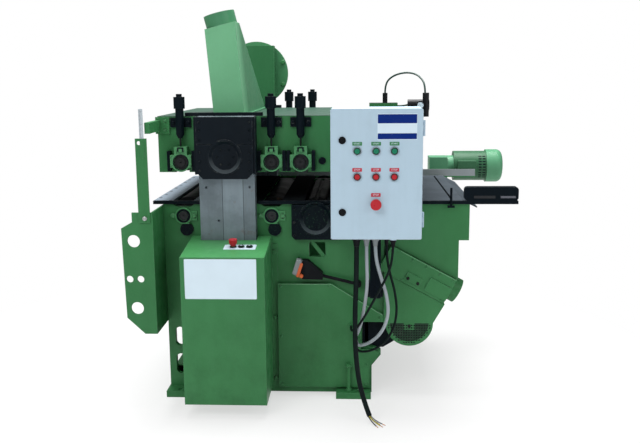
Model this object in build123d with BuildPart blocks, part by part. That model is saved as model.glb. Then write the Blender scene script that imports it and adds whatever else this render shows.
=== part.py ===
"""Double-sided planer: a base with tables, rollers and a lower cutter, and a head that rises on rams.

Millimetres. X runs with the feed from the infeed end to the outfeed end, Y from the control side to the
drive side, Z up. The origin is on the floor in the middle of the four anchor holes.
"""
import os
from math import cos, hypot, radians, sin, tan

from build123d import *

os.makedirs("parts", exist_ok=True)

# Base: its depth follows from the widest board that fits through
WORK_WIDTH = 640.0
SIDE_ROOM = 105.0
BASE_DEPTH = WORK_WIDTH + 2 * SIDE_ROOM
HALF = BASE_DEPTH / 2
PLATE = 25.0
BASE_LEFT = -440.0
BASE_RIGHT = 858.0
BASE_BOTTOM = 8.0
LEG_RIGHT = 450.0
LEG_TOP = 133.0
LOBE_RIGHT = 489.0
LOBE_LOW = 182.0
LOBE_HIGH = 203.0
LOBE_TOP_X = 455.0
RECESS_X = 408.0
RECESS_LOW = 217.0
EDGE_RIGHT = 500.0
EDGE_LOW = 331.0
STEP_X = 816.0
STEP_Z = 691.0
BEAM = 80.0
BEAM_WALL = 6.0
FOOT_HEIGHT = 28.0
FOOT_IN = 295.0
FOOT_OUT = 446.0
FOOT_REACH = 62.0
ANCHOR_X = 390.0
ANCHOR_REACH = 35.0
ANCHOR_R = 9.5

# Tables and work
TABLE_Z = 862.0
TABLE_T = 14.0
TABLE_LEFT = -480.0
TABLE_RIGHT = 830.0
THROAT = 116.0
TABLE_GAP = 4.0
TABLE_HOLE_R = 5.0
TABLE_HOLE_COUNT = 8
TABLE_HOLE_PITCH = 100.0
FLAP_LENGTH = 62.0
FLAP_DROP = 30.0
FLAP_T = 6.0

# Rollers and cutters
LOWER_ROLLER_R = 65.5
LOWER_ROLLER_PROUD = 0.5
LOWER_ROLLER_X = (-353.0, 24.0, 520.0)
UPPER_ROLLER_R = 50.0
SPRUNG_ROLLER_X = (-350.0, 30.0, 152.0)
OUTFEED_ROLLER_X = 520.0
SHAFT_R = 20.0
CUTTER_R = 75.0
KNIFE_PROUD = 1.5
KNIFE_T = 3.0
KNIFE_COUNT = 4
GULLET_R = 9.0
CUTTER_SHAFT_R = 25.0
UPPER_CUTTER_X = -155.0
LOWER_CUTTER_X = 211.0
CUTTER_RISE = 2.0
RUNNING_FIT = 0.05
CLEAR = 0.3
BORE_CLEAR = 10.0
RING_R = 36.0
RING_T = 12.0
CAP_R = 28.0
CAP_DROP = 58.0

# Head
HEAD_LEFT = -450.0
HEAD_RIGHT = 655.0
HEAD_RISE = 121.0
HEAD_HEIGHT = 235.0
TOP_T = 12.0
LIFT_DOWN = 110.0
RAM_WIDTH = 232.0
RAM_T = 55.0
RAM_GAP = 3.0
RAM_BOTTOM = 420.0
RAIL_WIDTH = 120.0
RAIL_T = 28.0
RAIL_LOW = 300.0
RAIL_HIGH = 800.0
HOUSING_T = 41.0
HOUSING_DROP = 18.0
HOUSING_CHAMFER = 25.0
COVER_RING_R = 72.0
COVER_RING_T = 3.0
COVER_MOUTH_R = 66.0
COVER_DISC_R = 53.0
COVER_SINK = 9.0
COVER_FLOOR = 3.0
LUG_WIDTH = 80.0
LUG_LOW = 430.0
LUG_HEIGHT = 50.0
SCREW_R = 18.0
SCREW_REACH = 180.0
SCREW_BOTTOM = 180.0

# Sprung bearing blocks and their pressure units
BLOCK_HALF = 44.7
BLOCK_REACH = 37.0
BLOCK_ROUND = 40.0
BLOCK_ABOVE = 65.0
BLOCK_SIDE_LOW = 22.0
BLOCK_SIDE_HIGH = 30.0
NECK_HALF = 27.0
BOSS_R = 28.0
BLOCK_TRAVEL = 12.0
BEARING_R = 30.0
BEARING_DEPTH = 8.0
GUIDE_WIDTH = 14.0
GUIDE_REACH = 30.0
GUIDE_BELOW = 38.0
GUIDE_ABOVE = 46.0
UNIT_R = 17.0
UNIT_REACH = 25.0
UNIT_GAP = 35.0
UNIT_LENGTH = 122.0
UNIT_TAPER = 14.0
UNIT_CAP_R = 23.0
UNIT_CAP_H = 48.0
UNIT_KNOB_R = 12.0
UNIT_KNOB_H = 12.0
PUSH_ROD_R = 4.0
PUSH_ROD_LENGTH = 140.0
EAR_HALF = 43.0
EAR_LOW = 1172.0
EAR_HEIGHT = 40.0

# Dust hood of the upper cutter
HOOD_WIDTH = 130.0
HOOD_END_ROOM = 45.0
HOOD_LENGTH = BASE_DEPTH - 2 * HOOD_END_ROOM
HOOD_FLANGE = 15.0
HOOD_FLANGE_T = 6.0
HOOD_WALL = 3.0
HOOD_COLLAR_R = 66.0
HOOD_COLLAR_LENGTH = 56.0
HOOD_COLLAR_X = -185.0
HOOD_COLLAR_Y = 120.0 - HALF
HOOD_COLLAR_Z = 1586.0
HOOD_LEAN = 14.0

# Drives
BELT_T = 5.0
BELT_WIDTH = 40.0
CUTTER_PULLEY_R = 45.0
LOWER_MOTOR_PULLEY_R = 60.0
UPPER_MOTOR_PULLEY_R = 70.0
PULLEY_SHAFT_R = 19.0
LOWER_BELT_Y = HALF - 75.0
LOWER_MOTOR_X = 610.0
LOWER_MOTOR_Z = 330.0
LOWER_MOTOR_Y = -160.0
LOWER_MOTOR_LENGTH = 420.0
LOWER_MOTOR_R = 105.0
UPPER_MOTOR_Z = 1394.0
UPPER_MOTOR_LENGTH = 278.0
UPPER_MOTOR_R = 125.0
FLANGE_R = 167.0
FLANGE_T = 22.0
COWL_LENGTH = 65.0
FIN_HEIGHT = 12.0
FIN_T = 4.0
FIN_COUNT = 20
GUARD_WALL = 3.0
BELT_GUARD_HALF = 100.0
BELT_GUARD_LOW = 940.0
BELT_GUARD_HIGH = 1537.0
BELT_GUARD_DEPTH = 76.0
SPROCKET_R = 35.0
CHAIN_T = 8.0
CHAIN_REACH = 73.0
CHAIN_WIDTH = 12.0
FEED_X = 818.0
GEAR_OFFSET = 100.0
GEARBOX_HALF = 48.0
GEARBOX_DEPTH = 110.0
FEED_MOTOR_R = 87.0
FEED_MOTOR_LENGTH = 205.0
FEED_COWL_LENGTH = 86.0
FEED_COWL_ROUND = 30.0
FEED_BODY_R = 79.0
FEED_NECK_R = 55.0
FEED_NECK_LENGTH = 34.0
FEED_BOX_START = 52.0
FEED_BOX_LENGTH = 95.0
FEED_BOX_HALF = 34.0
FEED_BOX_RISE = 20.0

# Chip chute of the lower cutter
CHUTE_X = 539.0
CHUTE_Z = 601.0
CHUTE_SLOPE = 28.4
CHUTE_HEIGHT = 116.0
CHUTE_WALL = 3.0
CHUTE_MOUTH = 270.0
CHUTE_LENGTH = 276.0
CHUTE_FRONT = 20.0
CHUTE_DEPTH = 215.0
TROUGH_BACK = HALF - 95.0
COLLAR_R = 54.0
COLLAR_LENGTH = 48.0

# Lift drive and its covers
LIFT_COVER_LEFT = -318.0
LIFT_COVER_RIGHT = 20.0
LIFT_COVER_DEPTH = 275.0
LIFT_COVER_LOW = 58.0
LIFT_COVER_FRONT_Z = 675.0
LIFT_COVER_BACK_Z = 710.0
SHEET = 3.0
COVER_FLANGE = 25.0
JACK_HALF = 65.0
JACK_LOW = 215.0
JACK_HEIGHT = 100.0
JACK_SHELF_T = 15.0
LIFT_MOTOR_R = 50.0
LIFT_MOTOR_LENGTH = 125.0
LIFT_MOTOR_X = -250.0

# Lower covers
LOWER_COVER_LEFT = 45.0
LOWER_COVER_TOP = 503.0
LOWER_COVER_BEND = 276.0
LOWER_COVER_SLOPE = 31.7
LOWER_COVER_T = 18.0
ENTRY_R = 12.0
MOTOR_GUARD_R = 102.0
MOTOR_GUARD_TIP_X = 760.0
MOTOR_GUARD_SIDE_X = 712.0
MOTOR_GUARD_FRONT = 15.0
MOTOR_GUARD_DEPTH = 170.0
GRILLE_R = 93.0
GRILLE_HOLE_R = 3.6
GRILLE_PITCH = 11.0

# Scale at the infeed end
SCALE_REACH = 190.0
SCALE_T = 8.0
SCALE_TOP = 841.0
SCALE_LOW = 331.0
POST_LEFT = -495.0
POST_WIDTH = 46.0
POST_TOP = 1140.0
POST_BOTTOM = 800.0
POST_T = 6.0
RULE_LEFT = -475.0
RULE_WIDTH = 16.0
RULE_LOW = 1060.0
RULE_TOP = 1256.0
RULE_T = 2.0

# Control cabinet
CABINET_LEFT = 284.0
CABINET_WIDTH = 352.0
CABINET_BOTTOM = 752.0
CABINET_HEIGHT = 504.0
CABINET_FRONT = -HALF - 283.0
CABINET_DEPTH = 200.0
CABINET_CORNER = 7.0
DOOR_T = 20.0
DOOR_GAP = 2.0
HINGE_R = 4.5
HINGE_PIN_R = 2.2
HINGE_LENGTH = 20.0
HINGE_OUT = 5.0
HINGE_INSET = 75.0
BUTTON_COLUMN_X = (386.0, 458.0, 528.0)
START_Z = 1096.0
STOP_Z = 997.0
ESTOP_Z = 892.0
BUTTON_R = 13.0
BUTTON_PROUD = 9.0
BUTTON_COLLAR_R = 16.0
BEZEL_R = 16.5
BEZEL_T = 6.0
ESTOP_R = 21.0
ESTOP_HEAD_T = 15.0
ESTOP_TRAVEL = 6.0
LOCK_X = 329.0
LOCK_Z = (1137.0, 859.0)
LOCK_R = 13.0
GLAND_R = 14.0
SUPPORT_X = 440.0
SUPPORT_WIDTH = 45.0
SUPPORT_T = 20.0
SUPPORT_LOW = 458.0
SUPPORT_TOP = 900.0

# Air unit on the head
VALVE_X = 440.0
VALVE_WIDTH = 125.0
VALVE_Y = -160.0
VALVE_DEPTH = 70.0
VALVE_HEIGHT = 40.0
REGULATOR_X = 600.0
REGULATOR_Y = -345.0

# Cords: radius, and the points that each follows. For the supply and control cables the second number is
# the reach in front of the base
MAINS_R = 10.0
MAINS_RUN = (
    (384.0, 185.0, 737.0),
    (384.0, 185.0, 590.0),
    (377.0, 187.0, 420.0),
    (380.0, 205.0, 250.0),
    (400.0, 253.0, 112.0),
    (437.0, 302.0, 30.0),
)
CORE_R = 2.4
CORE_ENDS = ((478.0, 320.0), (500.0, 329.0), (489.0, 345.0), (470.0, 351.0))
CORE_LIFT = 16.0
CORE_SINK = 8.0
CORE_SPREAD = 3.6
CABLE_RUNS = (
    (7.0, (
        (424.0, 185.0, 737.0),
        (424.0, 185.0, 650.0),
        (429.0, 182.0, 545.0),
        (414.0, 169.0, 430.0),
        (396.0, 140.0, 338.0),
        (376.0, 95.0, 290.0),
        (376.0, 30.0, 290.0),
    )),
    (7.0, (
        (459.0, 185.0, 737.0),
        (459.0, 185.0, 665.0),
        (478.0, 188.0, 590.0),
        (506.0, 187.0, 505.0),
        (516.0, 183.0, 420.0),
        (490.0, 171.0, 340.0),
        (440.0, 147.0, 284.0),
        (384.0, 100.0, 252.0),
        (384.0, 30.0, 252.0),
    )),
    (5.0, (
        (529.0, 215.0, 737.0),
        (529.0, 215.0, 675.0),
        (514.0, 219.0, 605.0),
        (480.0, 217.0, 538.0),
        (446.0, 207.0, 470.0),
        (412.0, 189.0, 402.0),
        (380.0, 153.0, 345.0),
        (360.0, 95.0, 318.0),
        (360.0, 30.0, 318.0),
    )),
    (5.0, (
        (505.0, 155.0, 737.0),
        (505.0, 155.0, 665.0),
        (518.0, 158.0, 590.0),
        (541.0, 159.0, 510.0),
        (551.0, 155.0, 425.0),
        (538.0, 147.0, 345.0),
        (500.0, 140.0, 282.0),
        (444.0, 125.0, 240.0),
        (386.0, 85.0, 224.0),
        (386.0, 30.0, 224.0),
    )),
)
HOSE_R = 4.0
HOSE_ROUTES = (
    (
        (510.0, -125.0, 1302.0),
        (510.0, -125.0, 1342.0),
        (540.0, -142.0, 1376.0),
        (592.0, -172.0, 1392.0),
        (640.0, -212.0, 1386.0),
        (668.0, -258.0, 1358.0),
        (675.0, -290.0, 1325.0),
        (675.0, -290.0, 1292.0),
    ),
    (
        (565.0, -125.0, 1244.0),
        (597.0, -125.0, 1244.0),
        (622.0, -152.0, 1254.0),
        (634.0, -198.0, 1262.0),
        (636.0, -243.0, 1264.0),
        (636.0, -285.0, 1264.0),
    ),
    (
        (565.0, -145.0, 1230.0),
        (592.0, -145.0, 1230.0),
        (611.0, -169.0, 1234.0),
        (617.0, -207.0, 1240.0),
        (618.0, -246.0, 1244.0),
        (618.0, -285.0, 1244.0),
    ),
)

# Derived places
INNER = HALF - PLATE
FRONT = -1
REAR = 1
TO_FRONT = (0, -1, 0)
PLATE_TOP = TABLE_Z - TABLE_T
LOWER_ROLLER_Z = TABLE_Z + LOWER_ROLLER_PROUD - LOWER_ROLLER_R
UPPER_ROLLER_Z = TABLE_Z + THROAT + UPPER_ROLLER_R
LOWER_CUTTER_Z = TABLE_Z - CUTTER_R
UPPER_CUTTER_Z = TABLE_Z + THROAT + CUTTER_RISE + CUTTER_R
HEAD_BOTTOM = TABLE_Z + HEAD_RISE
HEAD_TOP = HEAD_BOTTOM + HEAD_HEIGHT
RAM_REACH = RAM_GAP + RAM_T
HOUSING_REACH = RAM_REACH + HOUSING_T
UPPER_BORE_END = HOUSING_REACH - COVER_SINK - COVER_FLOOR
RAM_SPAN = (UPPER_CUTTER_X - RAM_WIDTH / 2, UPPER_CUTTER_X + RAM_WIDTH / 2)
BARREL = (-WORK_WIDTH / 2, WORK_WIDTH / 2)
BLOCK_TOP = UPPER_ROLLER_Z + BLOCK_ABOVE
UNIT_LOW = BLOCK_TOP + UNIT_GAP
LOWER_BELT_SPAN = (LOWER_BELT_Y, LOWER_BELT_Y + BELT_WIDTH)
BELT_GUARD_Y = HALF + HOUSING_REACH
MOTOR_FACE = BELT_GUARD_Y + BELT_GUARD_DEPTH
UPPER_BELT_Y = BELT_GUARD_Y + (BELT_GUARD_DEPTH - BELT_WIDTH) / 2
UPPER_BELT_SPAN = (UPPER_BELT_Y, UPPER_BELT_Y + BELT_WIDTH)
CHAIN_SPAN = (HALF + CHAIN_REACH, HALF + CHAIN_REACH + CHAIN_WIDTH)
DOOR_BACK = CABINET_FRONT + DOOR_T
BODY_FRONT = DOOR_BACK + DOOR_GAP
CABINET_BACK = CABINET_FRONT + CABINET_DEPTH
CABINET_SPAN = (CABINET_LEFT, CABINET_LEFT + CABINET_WIDTH)
CABINET_RISE = (CABINET_BOTTOM, CABINET_BOTTOM + CABINET_HEIGHT)
HINGE_X = CABINET_SPAN[1] + HINGE_OUT
HINGE_Y = DOOR_BACK + DOOR_GAP / 2


def in_front(points):
    """Points whose second number is a reach in front of the base."""
    return [(x, -HALF - reach, z) for x, reach, z in points]


MAINS_POINTS = in_front(MAINS_RUN)
CABLE_ROUTES = [(radius, in_front(points)) for radius, points in CABLE_RUNS]


def save(builder, name):
    """Label a finished piece and write it."""
    builder.part.label = name
    export_step(builder.part, f"parts/{name}.step")


def block(x, y, z, mode=Mode.ADD):
    """A box between a low and a high value along each axis."""
    middle = ((x[0] + x[1]) / 2, (y[0] + y[1]) / 2, (z[0] + z[1]) / 2)
    with Locations(middle):
        Box(x[1] - x[0], y[1] - y[0], z[1] - z[0], mode=mode)


def rod(axis, place, span, radius, mode=Mode.ADD):
    """A cylinder along X, Y or Z, centred on the other two coordinates."""
    middle = (span[0] + span[1]) / 2
    spots = {
        "X": Location((middle, place[0], place[1]), (0, 90, 0)),
        "Y": Location((place[0], middle, place[1]), (90, 0, 0)),
        "Z": Location((place[0], place[1], middle)),
    }
    with Locations(spots[axis]):
        Cylinder(radius, span[1] - span[0], mode=mode)


def slab(points, y, mode=Mode.ADD, inset=0.0):
    """An outline in X and Z, shrunk by inset, given thickness between two Y values."""
    with BuildSketch(Plane.XZ.offset(-y[1])) as face:
        with BuildLine():
            Polyline(*points, close=True)
        make_face()
        if inset:
            offset(amount=-inset, kind=Kind.INTERSECTION)
    extrude(face.sketch, amount=y[1] - y[0], dir=TO_FRONT, mode=mode)


def outward(side, near, far):
    """The Y range between two distances outward from a side plate's outer face."""
    ends = (side * (HALF + near), side * (HALF + far))
    return (min(ends), max(ends))


def around(centre, half):
    """A range of a half width on each side of a centre."""
    return (centre - half, centre + half)


def belt_loop(wheels, y, gap, thickness):
    """A closed loop round wheels given as x, z and radius, held a gap away from them."""
    for grow, mode in ((gap + thickness, Mode.ADD), (gap, Mode.SUBTRACT)):
        with BuildSketch(Plane.XZ.offset(-y[1])) as face:
            for x, z, radius in wheels:
                with Locations((x, z)):
                    Circle(radius + grow)
            make_hull()
        extrude(face.sketch, amount=y[1] - y[0], dir=TO_FRONT, mode=mode)


def finned_body(plane, radius, length):
    """A motor body with cooling fins that stands on a plane."""
    core = radius - FIN_HEIGHT
    with BuildSketch(plane) as face:
        Circle(core)
        with PolarLocations(core + FIN_HEIGHT / 2 - FIN_T / 2, FIN_COUNT):
            Rectangle(FIN_HEIGHT + FIN_T, FIN_T)
    extrude(face.sketch, amount=length, dir=plane.z_dir)


def along_y(x, y, z):
    """A plane that looks along +Y at a point."""
    return Plane(origin=(x, y, z), x_dir=(1, 0, 0), z_dir=(0, 1, 0))


def cord_tube(points, radius):
    """A round cord on straight runs joined by arcs as large as the runs allow."""
    vectors = [Vector(*point) for point in points]
    radii = []
    for before, here, after in zip(vectors, vectors[1:], vectors[2:]):
        turn = radians((here - before).get_angle(after - here))
        shorter = min((here - before).length, (after - here).length)
        radii.append(0.45 * shorter / tan(turn / 2))
    with BuildLine() as route:
        FilletPolyline(*points, radius=radii)
    path = route.wires()[0]
    with BuildSketch(Plane(origin=path @ 0, z_dir=path % 0)) as section:
        Circle(radius)
    tube = sweep(section.sketch, path=path)
    share = tube.volume / (section.sketch.area * path.length)
    print(f"cord {2 * radius:.1f}: {path.length:.0f} long, bend {min(radii):.0f}, fill {share:.3f}")


# Outline of the base's side plates, with its slanted edge above the chip chute
def chute_edge(x, offset_z):
    """Height of the chute's axis at x, moved by a distance square to it."""
    slope = radians(CHUTE_SLOPE)
    return CHUTE_Z - (x - CHUTE_X) * tan(slope) + offset_z / cos(slope)


CHUTE_SEAT = 2.0
BASE_OUTLINE = (
    (BASE_LEFT, BASE_BOTTOM),
    (LEG_RIGHT, BASE_BOTTOM),
    (LEG_RIGHT, LEG_TOP),
    (LOBE_RIGHT, LOBE_LOW),
    (LOBE_RIGHT, LOBE_HIGH),
    (LOBE_TOP_X, RECESS_LOW),
    (RECESS_X, RECESS_LOW),
    (RECESS_X, EDGE_LOW),
    (EDGE_RIGHT, EDGE_LOW),
    (EDGE_RIGHT, chute_edge(EDGE_RIGHT, CHUTE_HEIGHT / 2 + CHUTE_SEAT)),
    (STEP_X, chute_edge(STEP_X, CHUTE_HEIGHT / 2 + CHUTE_SEAT)),
    (STEP_X, STEP_Z),
    (BASE_RIGHT, STEP_Z),
    (BASE_RIGHT, PLATE_TOP),
    (BASE_LEFT, PLATE_TOP),
)
BASE_SHAFTS = [(x, LOWER_ROLLER_Z, SHAFT_R) for x in LOWER_ROLLER_X]
BASE_SHAFTS.append((LOWER_CUTTER_X, LOWER_CUTTER_Z, CUTTER_SHAFT_R))


def base_side(side):
    """One side plate of the base with its feet, guide rail, bores and anchor holes."""
    slab(BASE_OUTLINE, outward(side, -PLATE, 0))
    for way in (-1, 1):
        foot = sorted((way * FOOT_IN, way * FOOT_OUT))
        block(foot, outward(side, -PLATE, FOOT_REACH), (0, FOOT_HEIGHT))
    block(around(UPPER_CUTTER_X, RAIL_WIDTH / 2), outward(side, 0, RAIL_T), (RAIL_LOW, RAIL_HIGH))
    for x, z, radius in BASE_SHAFTS:
        rod("Y", (x, z), outward(side, -PLATE, 0), radius + BORE_CLEAR, Mode.SUBTRACT)
    for way in (-1, 1):
        spot = (way * ANCHOR_X, side * (HALF + ANCHOR_REACH))
        rod("Z", spot, (0, FOOT_HEIGHT), ANCHOR_R, Mode.SUBTRACT)


# Front side plate of the base, with the openings that show on the control side
LEG_SLOT_X = -390.0
LEG_SLOT_WIDTH = 40.0
LEG_SLOTS = ((258.0, 86.0), (133.0, 92.0))
WINDOW = (216.0, 650.0)
WINDOW_SIZE = (70.0, 64.0)
WINDOW_CORNER = 8.0
NOTCH_TOP_HALF = 50.0
NOTCH_LOW_HALF = 32.0
NOTCH_DEPTH = 12.0
LEAD_HOLE = (390.0, 504.0)

with BuildPart() as base_front_plate:
    base_side(FRONT)
    with BuildSketch(Plane.XZ.offset(HALF)):
        for centre_z, height in LEG_SLOTS:
            with Locations((LEG_SLOT_X, centre_z)):
                SlotOverall(height, LEG_SLOT_WIDTH, rotation=90)
        with Locations(WINDOW):
            RectangleRounded(*WINDOW_SIZE, WINDOW_CORNER)
    extrude(amount=-PLATE, mode=Mode.SUBTRACT)
    for x in LOWER_ROLLER_X[:2]:
        notch = (
            (x - NOTCH_TOP_HALF, PLATE_TOP),
            (x + NOTCH_TOP_HALF, PLATE_TOP),
            (x + NOTCH_LOW_HALF, PLATE_TOP - NOTCH_DEPTH),
            (x - NOTCH_LOW_HALF, PLATE_TOP - NOTCH_DEPTH),
        )
        slab(notch, outward(FRONT, -PLATE, 0), Mode.SUBTRACT)
save(base_front_plate, "base_front_plate")


# Rear side plate of the base, with the hollow beams that tie it to the front and the motor's plate
BASE_BEAMS = ((-420.0, 560.0), (-30.0, 600.0), (690.0, 700.0), (-420.0, 40.0), (340.0, 40.0))
MOTOR_PLATE_T = 15.0
MOTOR_PLATE_LOW = 40.0
MOTOR_PLATE_TOP = 380.0
MOTOR_PLATE_BACK = 300.0
MOTOR_PLATE_X = BASE_BEAMS[-1][0] + BEAM

with BuildPart() as base_rear_frame:
    base_side(REAR)
    for x, z in BASE_BEAMS:
        block((x, x + BEAM), (-INNER, INNER), (z, z + BEAM))
    motor_plate = (MOTOR_PLATE_X, MOTOR_PLATE_X + MOTOR_PLATE_T)
    block(motor_plate, (-INNER, MOTOR_PLATE_BACK), (MOTOR_PLATE_LOW, MOTOR_PLATE_TOP))
    for x, z in BASE_BEAMS:
        inside_x = (x + BEAM_WALL, x + BEAM - BEAM_WALL)
        inside_z = (z + BEAM_WALL, z + BEAM - BEAM_WALL)
        block(inside_x, (-INNER, INNER), inside_z, Mode.SUBTRACT)
save(base_rear_frame, "base_rear_frame")


# Lower front cover: a shallow pan with a slanted corner and round cable entries
cover_drop = (EDGE_RIGHT - LOWER_COVER_BEND) * tan(radians(LOWER_COVER_SLOPE))
LOWER_COVER_OUTLINE = (
    (LOWER_COVER_LEFT, FOOT_HEIGHT + 8),
    (LEG_RIGHT - 10, FOOT_HEIGHT + 8),
    (LEG_RIGHT - 10, LEG_TOP + 4),
    (LOBE_RIGHT - 10, LOBE_LOW + 4),
    (LOBE_RIGHT - 10, LOBE_HIGH - 4),
    (LOBE_TOP_X - 4, RECESS_LOW - 6),
    (RECESS_X - 6, RECESS_LOW - 6),
    (RECESS_X - 6, EDGE_LOW + 4),
    (EDGE_RIGHT - 2, EDGE_LOW + 4),
    (EDGE_RIGHT - 2, LOWER_COVER_TOP - cover_drop),
    (LOWER_COVER_BEND, LOWER_COVER_TOP),
    (LOWER_COVER_LEFT, LOWER_COVER_TOP),
)
with BuildPart() as lower_front_cover:
    slab(LOWER_COVER_OUTLINE, outward(FRONT, 0, LOWER_COVER_T))
    slab(LOWER_COVER_OUTLINE, outward(FRONT, 0, LOWER_COVER_T - SHEET), Mode.SUBTRACT, SHEET)
    for radius, points in CABLE_ROUTES:
        end = points[-1]
        entry = (end[1], -HALF - LOWER_COVER_T)
        rod("Y", (end[0], end[2]), entry, ENTRY_R)
save(lower_front_cover, "lower_front_cover")


# Guard in front of the lower motor, with a round bottom and a perforated half circle
GUARD_TOP = -CHUTE_HEIGHT / 2 - CHUTE_SEAT
MOTOR_GUARD_OUTLINE = (
    (EDGE_RIGHT, LOWER_MOTOR_Z),
    (EDGE_RIGHT, chute_edge(EDGE_RIGHT, GUARD_TOP)),
    (MOTOR_GUARD_TIP_X, chute_edge(MOTOR_GUARD_TIP_X, GUARD_TOP)),
    (MOTOR_GUARD_SIDE_X, LOWER_MOTOR_Z),
)


def motor_guard_box(inset, y, mode):
    """A box of the guard's outline, shrunk by inset."""
    with BuildSketch(Plane.XZ.offset(-y[1])) as face:
        with BuildLine():
            Polyline(*MOTOR_GUARD_OUTLINE, close=True)
        make_face()
        if inset:
            offset(amount=-inset, kind=Kind.INTERSECTION)
        with Locations((LOWER_MOTOR_X, LOWER_MOTOR_Z)):
            Circle(MOTOR_GUARD_R - inset)
    extrude(face.sketch, amount=y[1] - y[0], dir=TO_FRONT, mode=mode)


with BuildPart() as lower_motor_guard:
    guard_y = (-HALF - MOTOR_GUARD_FRONT, -HALF - MOTOR_GUARD_FRONT + MOTOR_GUARD_DEPTH)
    motor_guard_box(0.0, guard_y, Mode.ADD)
    motor_guard_box(SHEET, (guard_y[0] + SHEET, guard_y[1]), Mode.SUBTRACT)
    rows = int(GRILLE_R / GRILLE_PITCH)
    with BuildSketch(Plane.XZ.offset(-guard_y[0])):
        for row in range(1, rows + 1):
            for column in range(-rows, rows + 1):
                spot = (column * GRILLE_PITCH, -row * GRILLE_PITCH)
                if hypot(*spot) < GRILLE_R:
                    with Locations((LOWER_MOTOR_X + spot[0], LOWER_MOTOR_Z + spot[1])):
                        Circle(GRILLE_HOLE_R)
    extrude(amount=-SHEET, mode=Mode.SUBTRACT)
save(lower_motor_guard, "lower_motor_guard")


# Work tables: plates with gaps at the lower rollers and the lower cutter
def half_gap(radius, centre_z):
    """Half the gap that a round body needs at the underside of the tables."""
    rise = PLATE_TOP - centre_z
    return (radius ** 2 - rise ** 2) ** 0.5 + TABLE_GAP


TABLE_GAPS = [(x, half_gap(LOWER_ROLLER_R, LOWER_ROLLER_Z)) for x in LOWER_ROLLER_X]
TABLE_GAPS.append((LOWER_CUTTER_X, half_gap(CUTTER_R, LOWER_CUTTER_Z)))
TABLE_HOLE_INSET = 12.0
END_SLOT_X = (780.0, 789.0)
END_SLOT_MARGIN = 30.0
with BuildPart() as work_tables:
    block((TABLE_LEFT, TABLE_RIGHT), (-HALF, HALF), (PLATE_TOP, TABLE_Z))
    for x, half in TABLE_GAPS:
        block(around(x, half), (-HALF, HALF), (PLATE_TOP, TABLE_Z), Mode.SUBTRACT)
    block(END_SLOT_X, around(0, HALF - END_SLOT_MARGIN), (PLATE_TOP, TABLE_Z), Mode.SUBTRACT)
    with Locations((TABLE_LEFT + TABLE_HOLE_INSET, 0, TABLE_Z)):
        with GridLocations(1, TABLE_HOLE_PITCH, 1, TABLE_HOLE_COUNT):
            Hole(TABLE_HOLE_R, TABLE_T)
    flap = (
        (TABLE_RIGHT, TABLE_Z),
        (TABLE_RIGHT + FLAP_LENGTH, TABLE_Z - FLAP_DROP),
        (TABLE_RIGHT + FLAP_LENGTH, TABLE_Z - FLAP_DROP - FLAP_T),
        (TABLE_RIGHT, TABLE_Z - FLAP_T),
    )
    slab(flap, around(0, INNER - CLEAR))
save(work_tables, "work_tables")


# Edge strips along the tables, the rounded side guide at the outfeed end and its clamp bolt
STRIP_T = 16.0
STRIP_RIGHT = 1056.0
STRIP_SPLIT = 9.0
GUIDE_BAR_LEFT = 833.0
GUIDE_BAR_T = 35.0
GUIDE_BAR_HEIGHT = 58.0
GUIDE_BAR_CORNER = 14.0
CLAMP_X = 777.0
CLAMP_R = 5.0
CLAMP_RISE = 56.0
CLAMP_DROP = 28.0
with BuildPart() as side_guide_bar:
    strip_z = (PLATE_TOP, TABLE_Z)
    strip_y = outward(FRONT, 0, STRIP_T)
    block((TABLE_LEFT, RAM_SPAN[0] - STRIP_SPLIT), strip_y, strip_z)
    block((RAM_SPAN[1] + STRIP_SPLIT, STRIP_RIGHT), strip_y, strip_z)
    with BuildSketch(Plane.XZ.offset(-strip_y[0] - GUIDE_BAR_T)):
        bar_middle = ((GUIDE_BAR_LEFT + STRIP_RIGHT) / 2, TABLE_Z + GUIDE_BAR_HEIGHT / 2)
        with Locations(bar_middle):
            RectangleRounded(STRIP_RIGHT - GUIDE_BAR_LEFT, GUIDE_BAR_HEIGHT, GUIDE_BAR_CORNER)
    extrude(amount=GUIDE_BAR_T)
    clamp_y = strip_y[0] - CLAMP_R
    rod("Z", (CLAMP_X, clamp_y), (TABLE_Z - CLAMP_DROP, TABLE_Z + CLAMP_RISE), CLAMP_R)
    foot_z = (TABLE_Z - CLAMP_DROP, TABLE_Z - CLAMP_DROP + 2 * CLAMP_R)
    block(around(CLAMP_X, 3 * CLAMP_R), around(clamp_y, CLAMP_R), foot_z)
save(side_guide_bar, "side_guide_bar")


# Bearing flanges of the lower rollers, housings of the lower cutter and the black caps below the rollers
LOWER_HOUSING_HALF = 102.0
LOWER_HOUSING_TOP = 845.0
LOWER_HOUSING_LOW = 697.0
LOWER_HOUSING_T = 25.0
LOWER_BORE_END = LOWER_HOUSING_T - COVER_SINK - COVER_FLOOR
LOWER_HOUSING_CHAMFER = 14.0
SMALL_EAR_REACH = 46.0
SMALL_EAR_R = 11.0
BIG_EAR_REACH = 58.0
BIG_EAR_HALF = 21.0
EAR_SLOT = (26.0, 9.0)
EAR_SLOT_REACH = 47.0


def ring_flange(x, z, side):
    """A flange bearing with a spigot in the plate, a small ear and a slotted ear."""
    rod("Y", (x, z), outward(side, 0, RING_T), RING_R)
    rod("Y", (x, z), outward(side, -PLATE, 0), SHAFT_R + BORE_CLEAR)
    thin = outward(side, 0, RING_T / 2)
    rod("Y", (x - SMALL_EAR_REACH, z), thin, SMALL_EAR_R)
    block((x - SMALL_EAR_REACH, x), thin, around(z, SMALL_EAR_R))
    block((x, x + BIG_EAR_REACH), thin, around(z, BIG_EAR_HALF))
    slot_x = around(x + EAR_SLOT_REACH, EAR_SLOT[1] / 2)
    block(slot_x, thin, around(z, EAR_SLOT[0] / 2), Mode.SUBTRACT)
    rod("Y", (x, z), outward(side, -PLATE, RING_T), SHAFT_R + RUNNING_FIT, Mode.SUBTRACT)


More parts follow.
